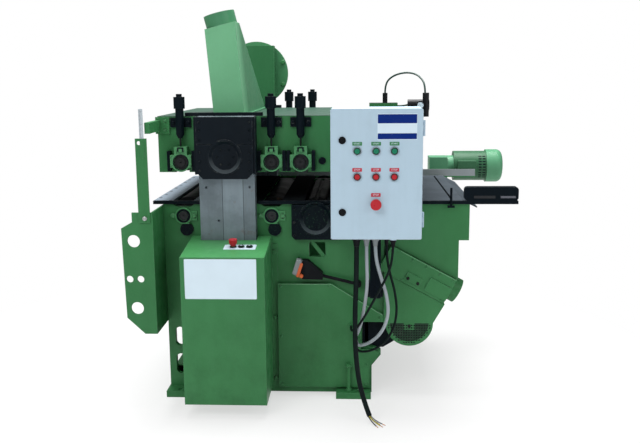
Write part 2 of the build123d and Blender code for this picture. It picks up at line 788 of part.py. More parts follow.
def cover_ring(x, z, side, near):
    """A round bearing cover on a housing's outer face, its middle sunk as a shallow cone."""
    rod("Y", (x, z), outward(side, near, near + COVER_RING_T), COVER_RING_R)
    sunk = outward(side, near - COVER_SINK, near + COVER_RING_T)
    middle = (sunk[0] + sunk[1]) / 2
    with Locations(Location((x, middle, z), (-90 * side, 0, 0))):
        Cone(COVER_DISC_R, COVER_MOUTH_R, sunk[1] - sunk[0], mode=Mode.SUBTRACT)


def chamfered_outline(x, z, corner):
    """A rectangle with its two lower corners cut."""
    return (
        (x[0], z[0] + corner),
        (x[0] + corner, z[0]),
        (x[1] - corner, z[0]),
        (x[1], z[0] + corner),
        (x[1], z[1]),
        (x[0], z[1]),
    )


LOWER_HOUSING_OUTLINE = chamfered_outline(
    around(LOWER_CUTTER_X, LOWER_HOUSING_HALF),
    (LOWER_HOUSING_LOW, LOWER_HOUSING_TOP),
    LOWER_HOUSING_CHAMFER,
)
with BuildPart() as lower_bearing_housings:
    for side in (FRONT, REAR):
        for x in LOWER_ROLLER_X:
            ring_flange(x, LOWER_ROLLER_Z, side)
        slab(LOWER_HOUSING_OUTLINE, outward(side, 0, LOWER_HOUSING_T))
        cutter_spot = (LOWER_CUTTER_X, LOWER_CUTTER_Z)
        rod("Y", cutter_spot, outward(side, -PLATE, 0), CUTTER_SHAFT_R + BORE_CLEAR)
        cover_ring(LOWER_CUTTER_X, LOWER_CUTTER_Z, side, LOWER_HOUSING_T)
        bore = outward(side, -PLATE, LOWER_BORE_END)
        rod("Y", cutter_spot, bore, CUTTER_SHAFT_R + RUNNING_FIT, Mode.SUBTRACT)
    for x in LOWER_ROLLER_X[:2]:
        rod("Y", (x + RING_T, LOWER_ROLLER_Z - CAP_DROP), outward(FRONT, 0, RING_T), CAP_R)
save(lower_bearing_housings, "lower_bearing_housings")


# Chip chute: a wide sloping trough below the lower cutter that ends in a narrower outlet with a round collar
slope = radians(CHUTE_SLOPE)
CHUTE_RUN = Vector(cos(slope), 0, -sin(slope))
CHUTE_OVERLAP = 15.0
DOOR_PLATE = (224.0, -13.0, 104.0, 62.0)
HINGE_PLATE = (112.0, -24.0, 72.0, 36.0)
DOOR_PLATE_T = 6.0


def chute_plane(y):
    """The plane of the chute's side wall, with local X down the slope."""
    return Plane(origin=(CHUTE_X, y, CHUTE_Z), x_dir=CHUTE_RUN, z_dir=(0, -1, 0))


def chute_box(run, wall, y, mode):
    """A sloping box between two distances along the chute."""
    with BuildSketch(chute_plane(y[1])) as face:
        with Locations(((run[0] + run[1]) / 2, 0)):
            Rectangle(run[1] - run[0], CHUTE_HEIGHT - 2 * wall)
    extrude(face.sketch, amount=y[1] - y[0], dir=TO_FRONT, mode=mode)


CHUTE_Y = (-HALF - CHUTE_FRONT, -HALF - CHUTE_FRONT + CHUTE_DEPTH)
OUTLET_START = 44.0
CHUTE_FACE_START = -40.0
with BuildPart() as chip_chute:
    chute_box((-CHUTE_MOUTH, OUTLET_START + CHUTE_OVERLAP), 0, (-INNER, TROUGH_BACK), Mode.ADD)
    chute_box((OUTLET_START, CHUTE_LENGTH), 0, CHUTE_Y, Mode.ADD)
    chute_box((CHUTE_FACE_START, OUTLET_START + CHUTE_OVERLAP), 0, (CHUTE_Y[0], -HALF), Mode.ADD)
    for x, z, width, height in (DOOR_PLATE, HINGE_PLATE):
        with BuildSketch(chute_plane(CHUTE_Y[0])):
            with Locations((x, z)):
                RectangleRounded(width, height, DOOR_PLATE_T)
        extrude(amount=DOOR_PLATE_T)
    collar_middle = (CHUTE_Y[0] + CHUTE_Y[1]) / 2
    collar_start = Vector(CHUTE_X, collar_middle, CHUTE_Z) + CHUTE_RUN * (CHUTE_LENGTH - CHUTE_WALL)
    with BuildSketch(Plane(origin=collar_start, z_dir=CHUTE_RUN)):
        Circle(COLLAR_R)
    extrude(amount=CHUTE_WALL + COLLAR_LENGTH)
    trough = (-CHUTE_MOUTH, OUTLET_START + CHUTE_OVERLAP - CHUTE_WALL)
    chute_box(trough, CHUTE_WALL, (-INNER + CHUTE_WALL, TROUGH_BACK - CHUTE_WALL), Mode.SUBTRACT)
    outlet_y = (CHUTE_Y[0] + CHUTE_WALL, CHUTE_Y[1] - CHUTE_WALL)
    chute_box((OUTLET_START + CHUTE_WALL, CHUTE_LENGTH - CHUTE_WALL), CHUTE_WALL, outlet_y, Mode.SUBTRACT)
    with BuildSketch(Plane(origin=collar_start, z_dir=CHUTE_RUN)):
        Circle(COLLAR_R - CHUTE_WALL)
    extrude(amount=CHUTE_WALL + COLLAR_LENGTH, mode=Mode.SUBTRACT)
save(chip_chute, "chip_chute")


# Lower cutter motor, hung on its plate inside the base, with the fan end towards the guard
MOTOR_FOOT_HALF = 60.0
MOTOR_FOOT_IN = 45.0
END_SHIELD_T = 30.0
BOX_HALF = 50.0
BOX_HEIGHT = 45.0
with BuildPart() as lower_motor:
    finned_body(along_y(LOWER_MOTOR_X, LOWER_MOTOR_Y, LOWER_MOTOR_Z), LOWER_MOTOR_R, LOWER_MOTOR_LENGTH)
    motor_spot = (LOWER_MOTOR_X, LOWER_MOTOR_Z)
    motor_back = LOWER_MOTOR_Y + LOWER_MOTOR_LENGTH
    rod("Y", motor_spot, (LOWER_MOTOR_Y - COWL_LENGTH, LOWER_MOTOR_Y), LOWER_MOTOR_R - FIN_T)
    rod("Y", motor_spot, (motor_back, motor_back + END_SHIELD_T), LOWER_MOTOR_R - 2 * FIN_HEIGHT)
    foot_x = (MOTOR_PLATE_X + MOTOR_PLATE_T, LOWER_MOTOR_X - LOWER_MOTOR_R + MOTOR_FOOT_IN)
    foot_y = (LOWER_MOTOR_Y + MOTOR_FOOT_HALF, motor_back - MOTOR_FOOT_HALF)
    block(foot_x, foot_y, around(LOWER_MOTOR_Z, MOTOR_FOOT_HALF / 2))
    box_z = (LOWER_MOTOR_Z + LOWER_MOTOR_R - FIN_HEIGHT, LOWER_MOTOR_Z + LOWER_MOTOR_R + BOX_HEIGHT)
    block(around(LOWER_MOTOR_X, BOX_HALF), around(LOWER_MOTOR_Y + 2 * BOX_HALF, BOX_HALF), box_z)
    bore = (motor_back - END_SHIELD_T, motor_back + END_SHIELD_T)
    rod("Y", motor_spot, bore, PULLEY_SHAFT_R + RUNNING_FIT, Mode.SUBTRACT)
save(lower_motor, "lower_motor")


# Pulley and shaft of the lower motor
with BuildPart() as lower_motor_pulley:
    rod("Y", motor_spot, LOWER_BELT_SPAN, LOWER_MOTOR_PULLEY_R)
    rod("Y", motor_spot, (motor_back - END_SHIELD_T + 1, LOWER_BELT_SPAN[1]), PULLEY_SHAFT_R)
save(lower_motor_pulley, "lower_motor_pulley")


# Belt from the lower motor to the lower cutter
BELT_EDGE = 2.0
with BuildPart() as lower_belt:
    wheels = (
        (LOWER_MOTOR_X, LOWER_MOTOR_Z, LOWER_MOTOR_PULLEY_R),
        (LOWER_CUTTER_X, LOWER_CUTTER_Z, CUTTER_PULLEY_R),
    )
    span = (LOWER_BELT_SPAN[0] + BELT_EDGE, LOWER_BELT_SPAN[1] - BELT_EDGE)
    belt_loop(wheels, span, CLEAR, BELT_T)
save(lower_belt, "lower_belt")


# Cutterblocks with their knives, shafts and pulleys
def cutterblock(x, z, shaft, pulley):
    """A barrel with gullets and knives, on a shaft with one belt pulley."""
    barrel_r = CUTTER_R - KNIFE_PROUD
    with BuildSketch(Plane.XZ.offset(-BARREL[1])) as face:
        with Locations((x, z)):
            Circle(barrel_r)
            with PolarLocations(barrel_r - GULLET_R / 3, KNIFE_COUNT):
                Circle(GULLET_R, mode=Mode.SUBTRACT)
            with PolarLocations(barrel_r - GULLET_R, KNIFE_COUNT, start_angle=8):
                Rectangle(2 * GULLET_R + 2 * KNIFE_PROUD, KNIFE_T)
    extrude(face.sketch, amount=WORK_WIDTH, dir=TO_FRONT)
    rod("Y", (x, z), shaft, CUTTER_SHAFT_R)
    rod("Y", (x, z), pulley, CUTTER_PULLEY_R)


SHAFT_SINK = 2.0
with BuildPart() as lower_cutterblock:
    shaft_end = HALF + LOWER_BORE_END - SHAFT_SINK
    cutterblock(LOWER_CUTTER_X, LOWER_CUTTER_Z, (-shaft_end, shaft_end), LOWER_BELT_SPAN)
save(lower_cutterblock, "lower_cutterblock")

with BuildPart() as upper_cutterblock:
    shaft = (-HALF - UPPER_BORE_END + SHAFT_SINK, UPPER_BELT_SPAN[1])
    cutterblock(UPPER_CUTTER_X, UPPER_CUTTER_Z, shaft, UPPER_BELT_SPAN)
save(upper_cutterblock, "upper_cutterblock")


# Feed rollers: a barrel on a shaft, with a sprocket on the drive side
SPROCKET_GAP = 6.0


def feed_roller(x, z, radius, front, sprocket):
    """A roller whose shaft runs from the front bearing to the end of its sprocket."""
    rod("Y", (x, z), BARREL, radius)
    rod("Y", (x, z), (front, sprocket[1]), SHAFT_R)
    rod("Y", (x, z), sprocket, SPROCKET_R)


FLANGE_FRONT = -HALF - RING_T + SHAFT_SINK
for number, x in enumerate(LOWER_ROLLER_X, start=1):
    with BuildPart() as lower_roller:
        feed_roller(x, LOWER_ROLLER_Z, LOWER_ROLLER_R, FLANGE_FRONT, CHAIN_SPAN)
    save(lower_roller, f"lower_roller_{number}")

UPPER_SPROCKET = outward(REAR, BLOCK_REACH + SPROCKET_GAP, BLOCK_REACH + SPROCKET_GAP + CHAIN_WIDTH)
for number, x in enumerate(SPRUNG_ROLLER_X, start=1):
    with BuildPart() as sprung_roller:
        front = -HALF - BLOCK_REACH + SHAFT_SINK
        feed_roller(x, UPPER_ROLLER_Z, UPPER_ROLLER_R, front, UPPER_SPROCKET)
    save(sprung_roller, f"upper_roller_{number}")

with BuildPart() as outfeed_roller:
    feed_roller(OUTFEED_ROLLER_X, UPPER_ROLLER_Z, UPPER_ROLLER_R, FLANGE_FRONT, UPPER_SPROCKET)
save(outfeed_roller, "upper_roller_4")


# Bearing blocks of a sprung roller, front and rear, each with its push rod
NAME_WINDOW_HALF = 18.0
NAME_WINDOW_HEIGHT = 15.0
NAME_WINDOW_DEPTH = 4.0
for number, x in enumerate(SPRUNG_ROLLER_X, start=1):
    spot = (x, UPPER_ROLLER_Z)
    side_z = (UPPER_ROLLER_Z - BLOCK_SIDE_LOW, UPPER_ROLLER_Z + BLOCK_SIDE_HIGH)
    window_z = (BLOCK_TOP - 2 * NAME_WINDOW_HEIGHT, BLOCK_TOP - NAME_WINDOW_HEIGHT)
    with BuildPart() as roller_carriage:
        for side in (FRONT, REAR):
            outside = outward(side, CLEAR, BLOCK_REACH)
            rod("Y", spot, outside, BLOCK_ROUND)
            block(around(x, BLOCK_HALF), outside, side_z)
            block(around(x, NECK_HALF), outside, (UPPER_ROLLER_Z, BLOCK_TOP))
            rod("Y", spot, outward(side, -PLATE, CLEAR), BOSS_R)
            rod_spot = (x, side * (HALF + UNIT_REACH))
            rod("Z", rod_spot, (BLOCK_TOP, BLOCK_TOP + PUSH_ROD_LENGTH), PUSH_ROD_R)
            through = outward(side, -PLATE, BLOCK_REACH)
            rod("Y", spot, through, SHAFT_R + RUNNING_FIT, Mode.SUBTRACT)
            sunk = outward(side, BLOCK_REACH - BEARING_DEPTH, BLOCK_REACH)
            rod("Y", spot, sunk, BEARING_R, Mode.SUBTRACT)
            face = outward(side, BLOCK_REACH - NAME_WINDOW_DEPTH, BLOCK_REACH)
            block(around(x, NAME_WINDOW_HALF), face, window_z, Mode.SUBTRACT)
    save(roller_carriage, f"roller_carriage_{number}")


# Side plates of the head, with slots for the sprung blocks, a seat for the ram and shaft bores
SLOT_R = BOSS_R + CLEAR
SLOT_TOP = UPPER_ROLLER_Z + BLOCK_TRAVEL


def head_side(side):
    """One side plate of the head."""
    thick = outward(side, -PLATE, 0)
    block((HEAD_LEFT, HEAD_RIGHT), thick, (HEAD_BOTTOM, HEAD_TOP))
    block(RAM_SPAN, outward(side, 0, RAM_GAP), (HEAD_BOTTOM, HEAD_TOP))
    for x in SPRUNG_ROLLER_X:
        block(around(x, SLOT_R), thick, (HEAD_BOTTOM, SLOT_TOP), Mode.SUBTRACT)
        rod("Y", (x, SLOT_TOP), thick, SLOT_R, Mode.SUBTRACT)
    shafts = (
        (UPPER_CUTTER_X, UPPER_CUTTER_Z, CUTTER_SHAFT_R),
        (OUTFEED_ROLLER_X, UPPER_ROLLER_Z, SHAFT_R),
    )
    for x, z, radius in shafts:
        rod("Y", (x, z), outward(side, -PLATE, RAM_GAP), radius + BORE_CLEAR, Mode.SUBTRACT)


with BuildPart() as head_front_plate:
    head_side(FRONT)
save(head_front_plate, "head_front_plate")


# Rear plate of the head with the end beams, the chip breaker, the pressure bars and the top plate
END_BEAM = 30.0
BAR_GAP = 8.0
BAR_HEIGHT = 110.0
BREAKER_HALF = 26.0
SHOE_SPAN = (214.0, 330.0)
SHOE_HEIGHT = 56.0
with BuildPart() as head_rear_frame:
    head_side(REAR)
    inside = (-INNER, INNER)
    end_z = (HEAD_BOTTOM + END_BEAM, HEAD_TOP)
    block((HEAD_LEFT, HEAD_LEFT + END_BEAM), inside, end_z)
    block((HEAD_RIGHT - END_BEAM, HEAD_RIGHT), inside, end_z)
    bar_z = (HEAD_BOTTOM, HEAD_BOTTOM + BAR_HEIGHT)
    breaker_right = UPPER_CUTTER_X - CUTTER_R - BAR_GAP
    block((breaker_right - 2 * BREAKER_HALF, breaker_right), inside, bar_z)
    bar_left = UPPER_CUTTER_X + CUTTER_R + BAR_GAP
    bar_right = SPRUNG_ROLLER_X[1] - UPPER_ROLLER_R - BAR_GAP
    block((bar_left, bar_right), inside, bar_z)
    block(SHOE_SPAN, inside, (HEAD_BOTTOM, HEAD_BOTTOM + SHOE_HEIGHT))
    block((HEAD_LEFT, HEAD_RIGHT), inside, (HEAD_TOP - TOP_T, HEAD_TOP))
    mouth = around(UPPER_CUTTER_X, HOOD_WIDTH / 2 - HOOD_WALL)
    mouth_y = around(0, HOOD_LENGTH / 2 - HOOD_WALL)
    block(mouth, mouth_y, (HEAD_TOP - TOP_T, HEAD_TOP), Mode.SUBTRACT)
save(head_rear_frame, "head_rear_frame")


# Lift rams: machined plates that carry the cutter's bearings, each with a lug and a lifting screw
RAM_HOLES = ((-87.0, 925.0), (95.0, 927.0), (-38.0, 785.0))
RAM_HOLE_R = 5.0
RAM_HOLE_DEPTH = 12.0
GROOVE_TOP = RAIL_HIGH + LIFT_DOWN + 15
with BuildPart() as lift_rams:
    for side in (FRONT, REAR):
        block(RAM_SPAN, outward(side, RAM_GAP, RAM_REACH), (RAM_BOTTOM, HEAD_TOP))
        lug = outward(side, RAM_REACH, SCREW_REACH + 2 * SCREW_R)
        block(around(UPPER_CUTTER_X, LUG_WIDTH / 2), lug, (LUG_LOW, LUG_LOW + LUG_HEIGHT))
        screw_spot = (UPPER_CUTTER_X, side * (HALF + SCREW_REACH))
        rod("Z", screw_spot, (SCREW_BOTTOM, LUG_LOW + LUG_HEIGHT + SCREW_R), SCREW_R)
        groove_x = around(UPPER_CUTTER_X, RAIL_WIDTH / 2 + CLEAR)
        groove_y = outward(side, RAM_GAP, RAIL_T + CLEAR)
        block(groove_x, groove_y, (RAM_BOTTOM, GROOVE_TOP), Mode.SUBTRACT)
        ram_bore = outward(side, RAM_GAP, RAM_REACH)
        spot = (UPPER_CUTTER_X, UPPER_CUTTER_Z)
        rod("Y", spot, ram_bore, CUTTER_SHAFT_R + BORE_CLEAR, Mode.SUBTRACT)
        for x, z in RAM_HOLES:
            drill = outward(side, RAM_REACH - RAM_HOLE_DEPTH, RAM_REACH)
            rod("Y", (UPPER_CUTTER_X + x, z), drill, RAM_HOLE_R, Mode.SUBTRACT)
save(lift_rams, "lift_rams")


# Dark bearing housings of the upper cutter, with gib strips, the outfeed roller's flanges and the top bars
GIB = 10.0
SEAM_Z = 1106.0
SEAM_T = 3.0
TOP_BAR_LEFT = -333.0
TOP_BAR_RIGHT = -8.0
TOP_BAR_HEIGHT = 14.0
with BuildPart() as upper_bearing_housings:
    for side in (FRONT, REAR):
        housing_z = (HEAD_BOTTOM - HOUSING_DROP, HEAD_TOP)
        outline = chamfered_outline(RAM_SPAN, housing_z, HOUSING_CHAMFER)
        thick = outward(side, RAM_REACH, HOUSING_REACH)
        slab(outline, thick)
        for edge in (RAM_SPAN[0] - GIB, RAM_SPAN[1]):
            gib_y = outward(side, RAM_GAP + RAM_T / 2, HOUSING_REACH - GIB)
            block((edge, edge + GIB), gib_y, (HEAD_BOTTOM, HEAD_TOP))
        seam = outward(side, HOUSING_REACH - SEAM_T, HOUSING_REACH)
        block(RAM_SPAN, seam, (SEAM_Z, SEAM_Z + SEAM_T), Mode.SUBTRACT)
        bore = outward(side, RAM_REACH, HOUSING_REACH)
        if side == FRONT:
            cover_ring(UPPER_CUTTER_X, UPPER_CUTTER_Z, side, HOUSING_REACH)
            bore = outward(side, RAM_REACH, UPPER_BORE_END)
        spot = (UPPER_CUTTER_X, UPPER_CUTTER_Z)
        rod("Y", spot, bore, CUTTER_SHAFT_R + RUNNING_FIT, Mode.SUBTRACT)
        ring_flange(OUTFEED_ROLLER_X, UPPER_ROLLER_Z, side)
        bar_z = (HEAD_TOP, HEAD_TOP + TOP_BAR_HEIGHT)
        block((TOP_BAR_LEFT, TOP_BAR_RIGHT), outward(side, -PLATE, 0), bar_z)
save(upper_bearing_housings, "upper_bearing_housings")


# Spring pressure units above the sprung blocks, with the rails that guide the blocks
UNIT_TIP_R = 9.0
with BuildPart() as pressure_units:
    for side in (FRONT, REAR):
        for x in SPRUNG_ROLLER_X:
            spot = (x, side * (HALF + UNIT_REACH))
            cap_low = UNIT_LOW + UNIT_LENGTH
            cap_top = cap_low + UNIT_CAP_H
            rod("Z", spot, (UNIT_LOW + UNIT_TAPER, cap_low), UNIT_R)
            with Locations((spot[0], spot[1], UNIT_LOW + UNIT_TAPER / 2)):
                Cone(UNIT_TIP_R, UNIT_R, UNIT_TAPER)
            rod("Z", spot, (cap_low, cap_top), UNIT_CAP_R)
            rod("Z", spot, (cap_top, cap_top + UNIT_KNOB_H), UNIT_KNOB_R)
            ear = (EAR_LOW, EAR_LOW + EAR_HEIGHT)
            block(around(x, EAR_HALF), outward(side, 0, UNIT_REACH / 2), ear)
            bore = (UNIT_LOW, BLOCK_TOP + PUSH_ROD_LENGTH + 2 * BLOCK_TRAVEL)
            rod("Z", spot, bore, PUSH_ROD_R + CLEAR, Mode.SUBTRACT)
            for way in (-1, 1):
                near = x + way * (BLOCK_HALF + CLEAR)
                rail_x = sorted((near, near + way * GUIDE_WIDTH))
                rail_z = (UPPER_ROLLER_Z - GUIDE_BELOW, UPPER_ROLLER_Z + GUIDE_ABOVE)
                block(rail_x, outward(side, 0, GUIDE_REACH), rail_z)
save(pressure_units, "pressure_units")


# Dust hood: from a long mouth over the upper cutter to a leaning square neck with a round collar
lean = radians(HOOD_LEAN)
HOOD_RUN = Vector(-sin(lean), 0, cos(lean))
HOOD_LOW = HEAD_TOP + HOOD_FLANGE_T
COLLAR_AT = (HOOD_COLLAR_X, HOOD_COLLAR_Y, HOOD_COLLAR_Z)
COLLAR_PLANE = Plane(origin=COLLAR_AT, x_dir=(cos(lean), 0, sin(lean)), z_dir=HOOD_RUN)
with BuildPart() as dust_hood:
    flange_x = around(UPPER_CUTTER_X, HOOD_WIDTH / 2 + HOOD_FLANGE)
    block(flange_x, around(0, HOOD_LENGTH / 2 + HOOD_FLANGE), (HEAD_TOP, HOOD_LOW))
    mouth = around(UPPER_CUTTER_X, HOOD_WIDTH / 2 - HOOD_WALL)
    block(mouth, around(0, HOOD_LENGTH / 2 - HOOD_WALL), (HEAD_TOP, HOOD_LOW), Mode.SUBTRACT)
    for wall, mode in ((0.0, Mode.ADD), (HOOD_WALL, Mode.SUBTRACT)):
        with BuildSketch(Plane.XY.offset(HOOD_LOW)):
            with Locations((UPPER_CUTTER_X, 0)):
                Rectangle(HOOD_WIDTH - 2 * wall, HOOD_LENGTH - 2 * wall)
        neck = 2 * (HOOD_COLLAR_R - wall)
        with BuildSketch(COLLAR_PLANE):
            Rectangle(neck, neck)
        loft(mode=mode)
    with BuildSketch(COLLAR_PLANE):
        Rectangle(2 * HOOD_COLLAR_R, 2 * HOOD_COLLAR_R)
        Circle(HOOD_COLLAR_R - HOOD_WALL, mode=Mode.SUBTRACT)
    extrude(amount=HOOD_WALL)
    with BuildSketch(COLLAR_PLANE):
        Circle(HOOD_COLLAR_R)
        Circle(HOOD_COLLAR_R - HOOD_WALL, mode=Mode.SUBTRACT)
    extrude(amount=HOOD_COLLAR_LENGTH)
save(dust_hood, "dust_hood")


# Upper cutter's belt guard, motor, motor pulley and belt, behind the head
MOTOR_MOUTH_R = 60.0
with BuildPart() as upper_belt_guard:
    guard_x = around(UPPER_CUTTER_X, BELT_GUARD_HALF)
    guard_z = (BELT_GUARD_LOW, BELT_GUARD_HIGH)
    block(guard_x, (BELT_GUARD_Y, MOTOR_FACE), guard_z)
    inner_x = (guard_x[0] + GUARD_WALL, guard_x[1] - GUARD_WALL)
    inner_z = (guard_z[0] + GUARD_WALL, guard_z[1] - GUARD_WALL)
    block(inner_x, (BELT_GUARD_Y + GUARD_WALL, MOTOR_FACE - GUARD_WALL), inner_z, Mode.SUBTRACT)
    front_wall = (BELT_GUARD_Y, BELT_GUARD_Y + GUARD_WALL)
    rod("Y", (UPPER_CUTTER_X, UPPER_CUTTER_Z), front_wall, MOTOR_MOUTH_R, Mode.SUBTRACT)
    back_wall = (MOTOR_FACE - GUARD_WALL, MOTOR_FACE)
    rod("Y", (UPPER_CUTTER_X, UPPER_MOTOR_Z), back_wall, MOTOR_MOUTH_R, Mode.SUBTRACT)
save(upper_belt_guard, "upper_belt_guard")

with BuildPart() as upper_motor:
    upper_spot = (UPPER_CUTTER_X, UPPER_MOTOR_Z)
    body_y = MOTOR_FACE + FLANGE_T
    cowl_y = body_y + UPPER_MOTOR_LENGTH
    rod("Y", upper_spot, (MOTOR_FACE, body_y), FLANGE_R)
    finned_body(along_y(UPPER_CUTTER_X, body_y, UPPER_MOTOR_Z), UPPER_MOTOR_R, UPPER_MOTOR_LENGTH)
    rod("Y", upper_spot, (cowl_y, cowl_y + COWL_LENGTH), UPPER_MOTOR_R - FIN_T)
    box_z = (UPPER_MOTOR_Z - UPPER_MOTOR_R - BOX_HEIGHT, UPPER_MOTOR_Z - UPPER_MOTOR_R + FIN_HEIGHT)
    block(around(UPPER_CUTTER_X, BOX_HALF), around(body_y + 2 * BOX_HALF, BOX_HALF), box_z)
    bore = (MOTOR_FACE, body_y + END_SHIELD_T)
    rod("Y", upper_spot, bore, PULLEY_SHAFT_R + RUNNING_FIT, Mode.SUBTRACT)
save(upper_motor, "upper_motor")

with BuildPart() as upper_motor_pulley:
    rod("Y", upper_spot, UPPER_BELT_SPAN, UPPER_MOTOR_PULLEY_R)
    rod("Y", upper_spot, (UPPER_BELT_SPAN[0], body_y + END_SHIELD_T - 1), PULLEY_SHAFT_R)
save(upper_motor_pulley, "upper_motor_pulley")

with BuildPart() as upper_belt:
    wheels = (
        (UPPER_CUTTER_X, UPPER_CUTTER_Z, CUTTER_PULLEY_R),
        (UPPER_CUTTER_X, UPPER_MOTOR_Z, UPPER_MOTOR_PULLEY_R),
    )
    span = (UPPER_BELT_SPAN[0] + BELT_EDGE, UPPER_BELT_SPAN[1] - BELT_EDGE)
    belt_loop(wheels, span, CLEAR, BELT_T)
save(upper_belt, "upper_belt")


# Feed drive at the rear right: worm gearmotor on a shelf, its sprocket and the chain along the lower rollers
GEARBOX_BELOW = 52.0
GEARBOX_ABOVE = 150.0
GEARBOX_REACH = 92.0
FEED_SHELF_T = 14.0
FEED_SHELF_X = (752.0, 858.0)
FEED_SPOT = (FEED_X, LOWER_ROLLER_Z)
with BuildPart() as feed_gearmotor:
    gear_y = outward(REAR, GEARBOX_REACH, GEARBOX_REACH + GEARBOX_DEPTH)
    gear_z = (LOWER_ROLLER_Z - GEARBOX_BELOW, LOWER_ROLLER_Z + GEARBOX_ABOVE)
    block(around(FEED_X, GEARBOX_HALF), gear_y, gear_z)
    shelf_z = (gear_z[0] - FEED_SHELF_T, gear_z[0])
    block(FEED_SHELF_X, outward(REAR, 0, GEARBOX_REACH + GEARBOX_DEPTH), shelf_z)
    motor_x = FEED_X + GEARBOX_HALF
    motor_line = (sum(gear_y) / 2, LOWER_ROLLER_Z + GEAR_OFFSET)
    rod("X", motor_line, (motor_x, motor_x + FEED_NECK_LENGTH), FEED_NECK_R)
    rod("X", motor_line, (motor_x + FEED_NECK_LENGTH, motor_x + FEED_MOTOR_LENGTH), FEED_BODY_R)
    cowl = (motor_x + FEED_MOTOR_LENGTH, motor_x + FEED_MOTOR_LENGTH + FEED_COWL_LENGTH)
    rod("X", motor_line, cowl, FEED_MOTOR_R)
    end_rim = feed_gearmotor.edges().filter_by(GeomType.CIRCLE).sort_by(Axis.X)[-1]
    fillet(end_rim, FEED_COWL_ROUND)
    box_x = (motor_x + FEED_BOX_START, motor_x + FEED_BOX_START + FEED_BOX_LENGTH)
    box_y = (motor_line[0] - FEED_BODY_R - FEED_BOX_RISE, motor_line[0])
    block(box_x, box_y, around(motor_line[1], FEED_BOX_HALF))
    rod("Y", FEED_SPOT, gear_y, SHAFT_R + RUNNING_FIT, Mode.SUBTRACT)
save(feed_gearmotor, "feed_gearmotor")

with BuildPart() as feed_sprocket:
    rod("Y", FEED_SPOT, CHAIN_SPAN, SPROCKET_R)
    rod("Y", FEED_SPOT, (CHAIN_SPAN[0], gear_y[1] - SHAFT_SINK), SHAFT_R)
save(feed_sprocket, "feed_sprocket")

with BuildPart() as feed_chain:
    wheels = (
        (LOWER_ROLLER_X[0], LOWER_ROLLER_Z, SPROCKET_R),
        (FEED_X, LOWER_ROLLER_Z, SPROCKET_R),
    )
    span = (CHAIN_SPAN[0] + BELT_EDGE, CHAIN_SPAN[1] - BELT_EDGE)
    belt_loop(wheels, span, CLEAR, CHAIN_T)
save(feed_chain, "feed_chain")


# Cover boxes of the lift drive, the front one with its control plate, and the chain guard at the rear
def lift_cover(side):
    """A sheet box with a sloping top and side flanges, open towards the side plate."""
    wide = LIFT_COVER_RIGHT - LIFT_COVER_LEFT
    for wall, mode in ((0.0, Mode.ADD), (SHEET, Mode.SUBTRACT)):
        far = side * (HALF + LIFT_COVER_DEPTH - wall)
        profile = (
            (side * HALF, LIFT_COVER_LOW + wall),
            (far, LIFT_COVER_LOW + wall),
            (far, LIFT_COVER_FRONT_Z - wall),
            (side * HALF, LIFT_COVER_BACK_Z - wall),
        )
        with BuildSketch(Plane.YZ.offset(LIFT_COVER_LEFT + wall)) as face:
            with BuildLine():
                Polyline(*profile, close=True)
            make_face()
        extrude(face.sketch, amount=wide - 2 * wall, dir=(1, 0, 0), mode=mode)
    for edge in (LIFT_COVER_LEFT - COVER_FLANGE, LIFT_COVER_RIGHT):
        flange_z = (LIFT_COVER_LOW, LIFT_COVER_FRONT_Z)
        block((edge, edge + COVER_FLANGE), outward(side, 0, SHEET), flange_z)
    passage = (RAM_SPAN[0] - RAM_GAP, RAM_SPAN[1] + RAM_GAP)
    high = (LIFT_COVER_FRONT_Z - SHEET, LIFT_COVER_BACK_Z)
    block(passage, outward(side, 0, RAM_REACH + RAM_GAP), high, Mode.SUBTRACT)


TOP_TILT = (LIFT_COVER_BACK_Z - LIFT_COVER_FRONT_Z) / LIFT_COVER_DEPTH
LIFT_BUTTON_REACH = 150.0
LIFT_BUTTON_X = {"lift_emergency_stop": -121.0, "lift_up_button": -88.0, "lift_down_button": -54.0}
LIFT_BUTTON_R = 9.0
LIFT_BEZEL_R = 13.0
LIFT_STOP_R = 17.0
LIFT_STOP_STEM_R = 14.0
LIFT_STOP_GAP = 6.0
LIFT_STOP_RISE = 34.0
LIFT_BUTTON_RISE = 9.0
LIFT_BUTTON_DROP = 14.0


def top_plane(x):
    """A plane on the front cover's sloping top."""
    y = -HALF - LIFT_BUTTON_REACH
    z = LIFT_COVER_BACK_Z - LIFT_BUTTON_REACH * TOP_TILT
    return Plane(origin=(x, y, z), x_dir=(1, 0, 0), z_dir=(0, -TOP_TILT, 1))


def disc_on(plane, radius, low, high, mode=Mode.ADD):
    """A cylinder that stands square to a plane between two heights over it."""
    with BuildSketch(plane.offset(low)) as face:
        Circle(radius)
    extrude(face.sketch, amount=high - low, dir=plane.z_dir, mode=mode)


with BuildPart() as lift_drive_cover:
    lift_cover(FRONT)
    for name, x in LIFT_BUTTON_X.items():
        disc_on(top_plane(x), LIFT_BEZEL_R, -SHEET / 2, BEZEL_T)
        disc_on(top_plane(x), LIFT_BUTTON_R + CLEAR, -2 * SHEET, BEZEL_T + 1, Mode.SUBTRACT)
save(lift_drive_cover, "lift_drive_cover")

for name, x in LIFT_BUTTON_X.items():
    with BuildPart() as lift_button:
        disc_on(top_plane(x), LIFT_BUTTON_R, -LIFT_BUTTON_DROP, LIFT_BUTTON_RISE)
        disc_on(top_plane(x), LIFT_BEZEL_R, -LIFT_BUTTON_DROP, -2 * SHEET)
        if name == "lift_emergency_stop":
            disc_on(top_plane(x), LIFT_STOP_R, LIFT_STOP_RISE - ESTOP_HEAD_T, LIFT_STOP_RISE)
            disc_on(top_plane(x), LIFT_STOP_STEM_R, BEZEL_T + LIFT_STOP_GAP, LIFT_STOP_RISE)
            disc_on(top_plane(x), LIFT_BUTTON_R, 0, LIFT_STOP_RISE)
    save(lift_button, name)

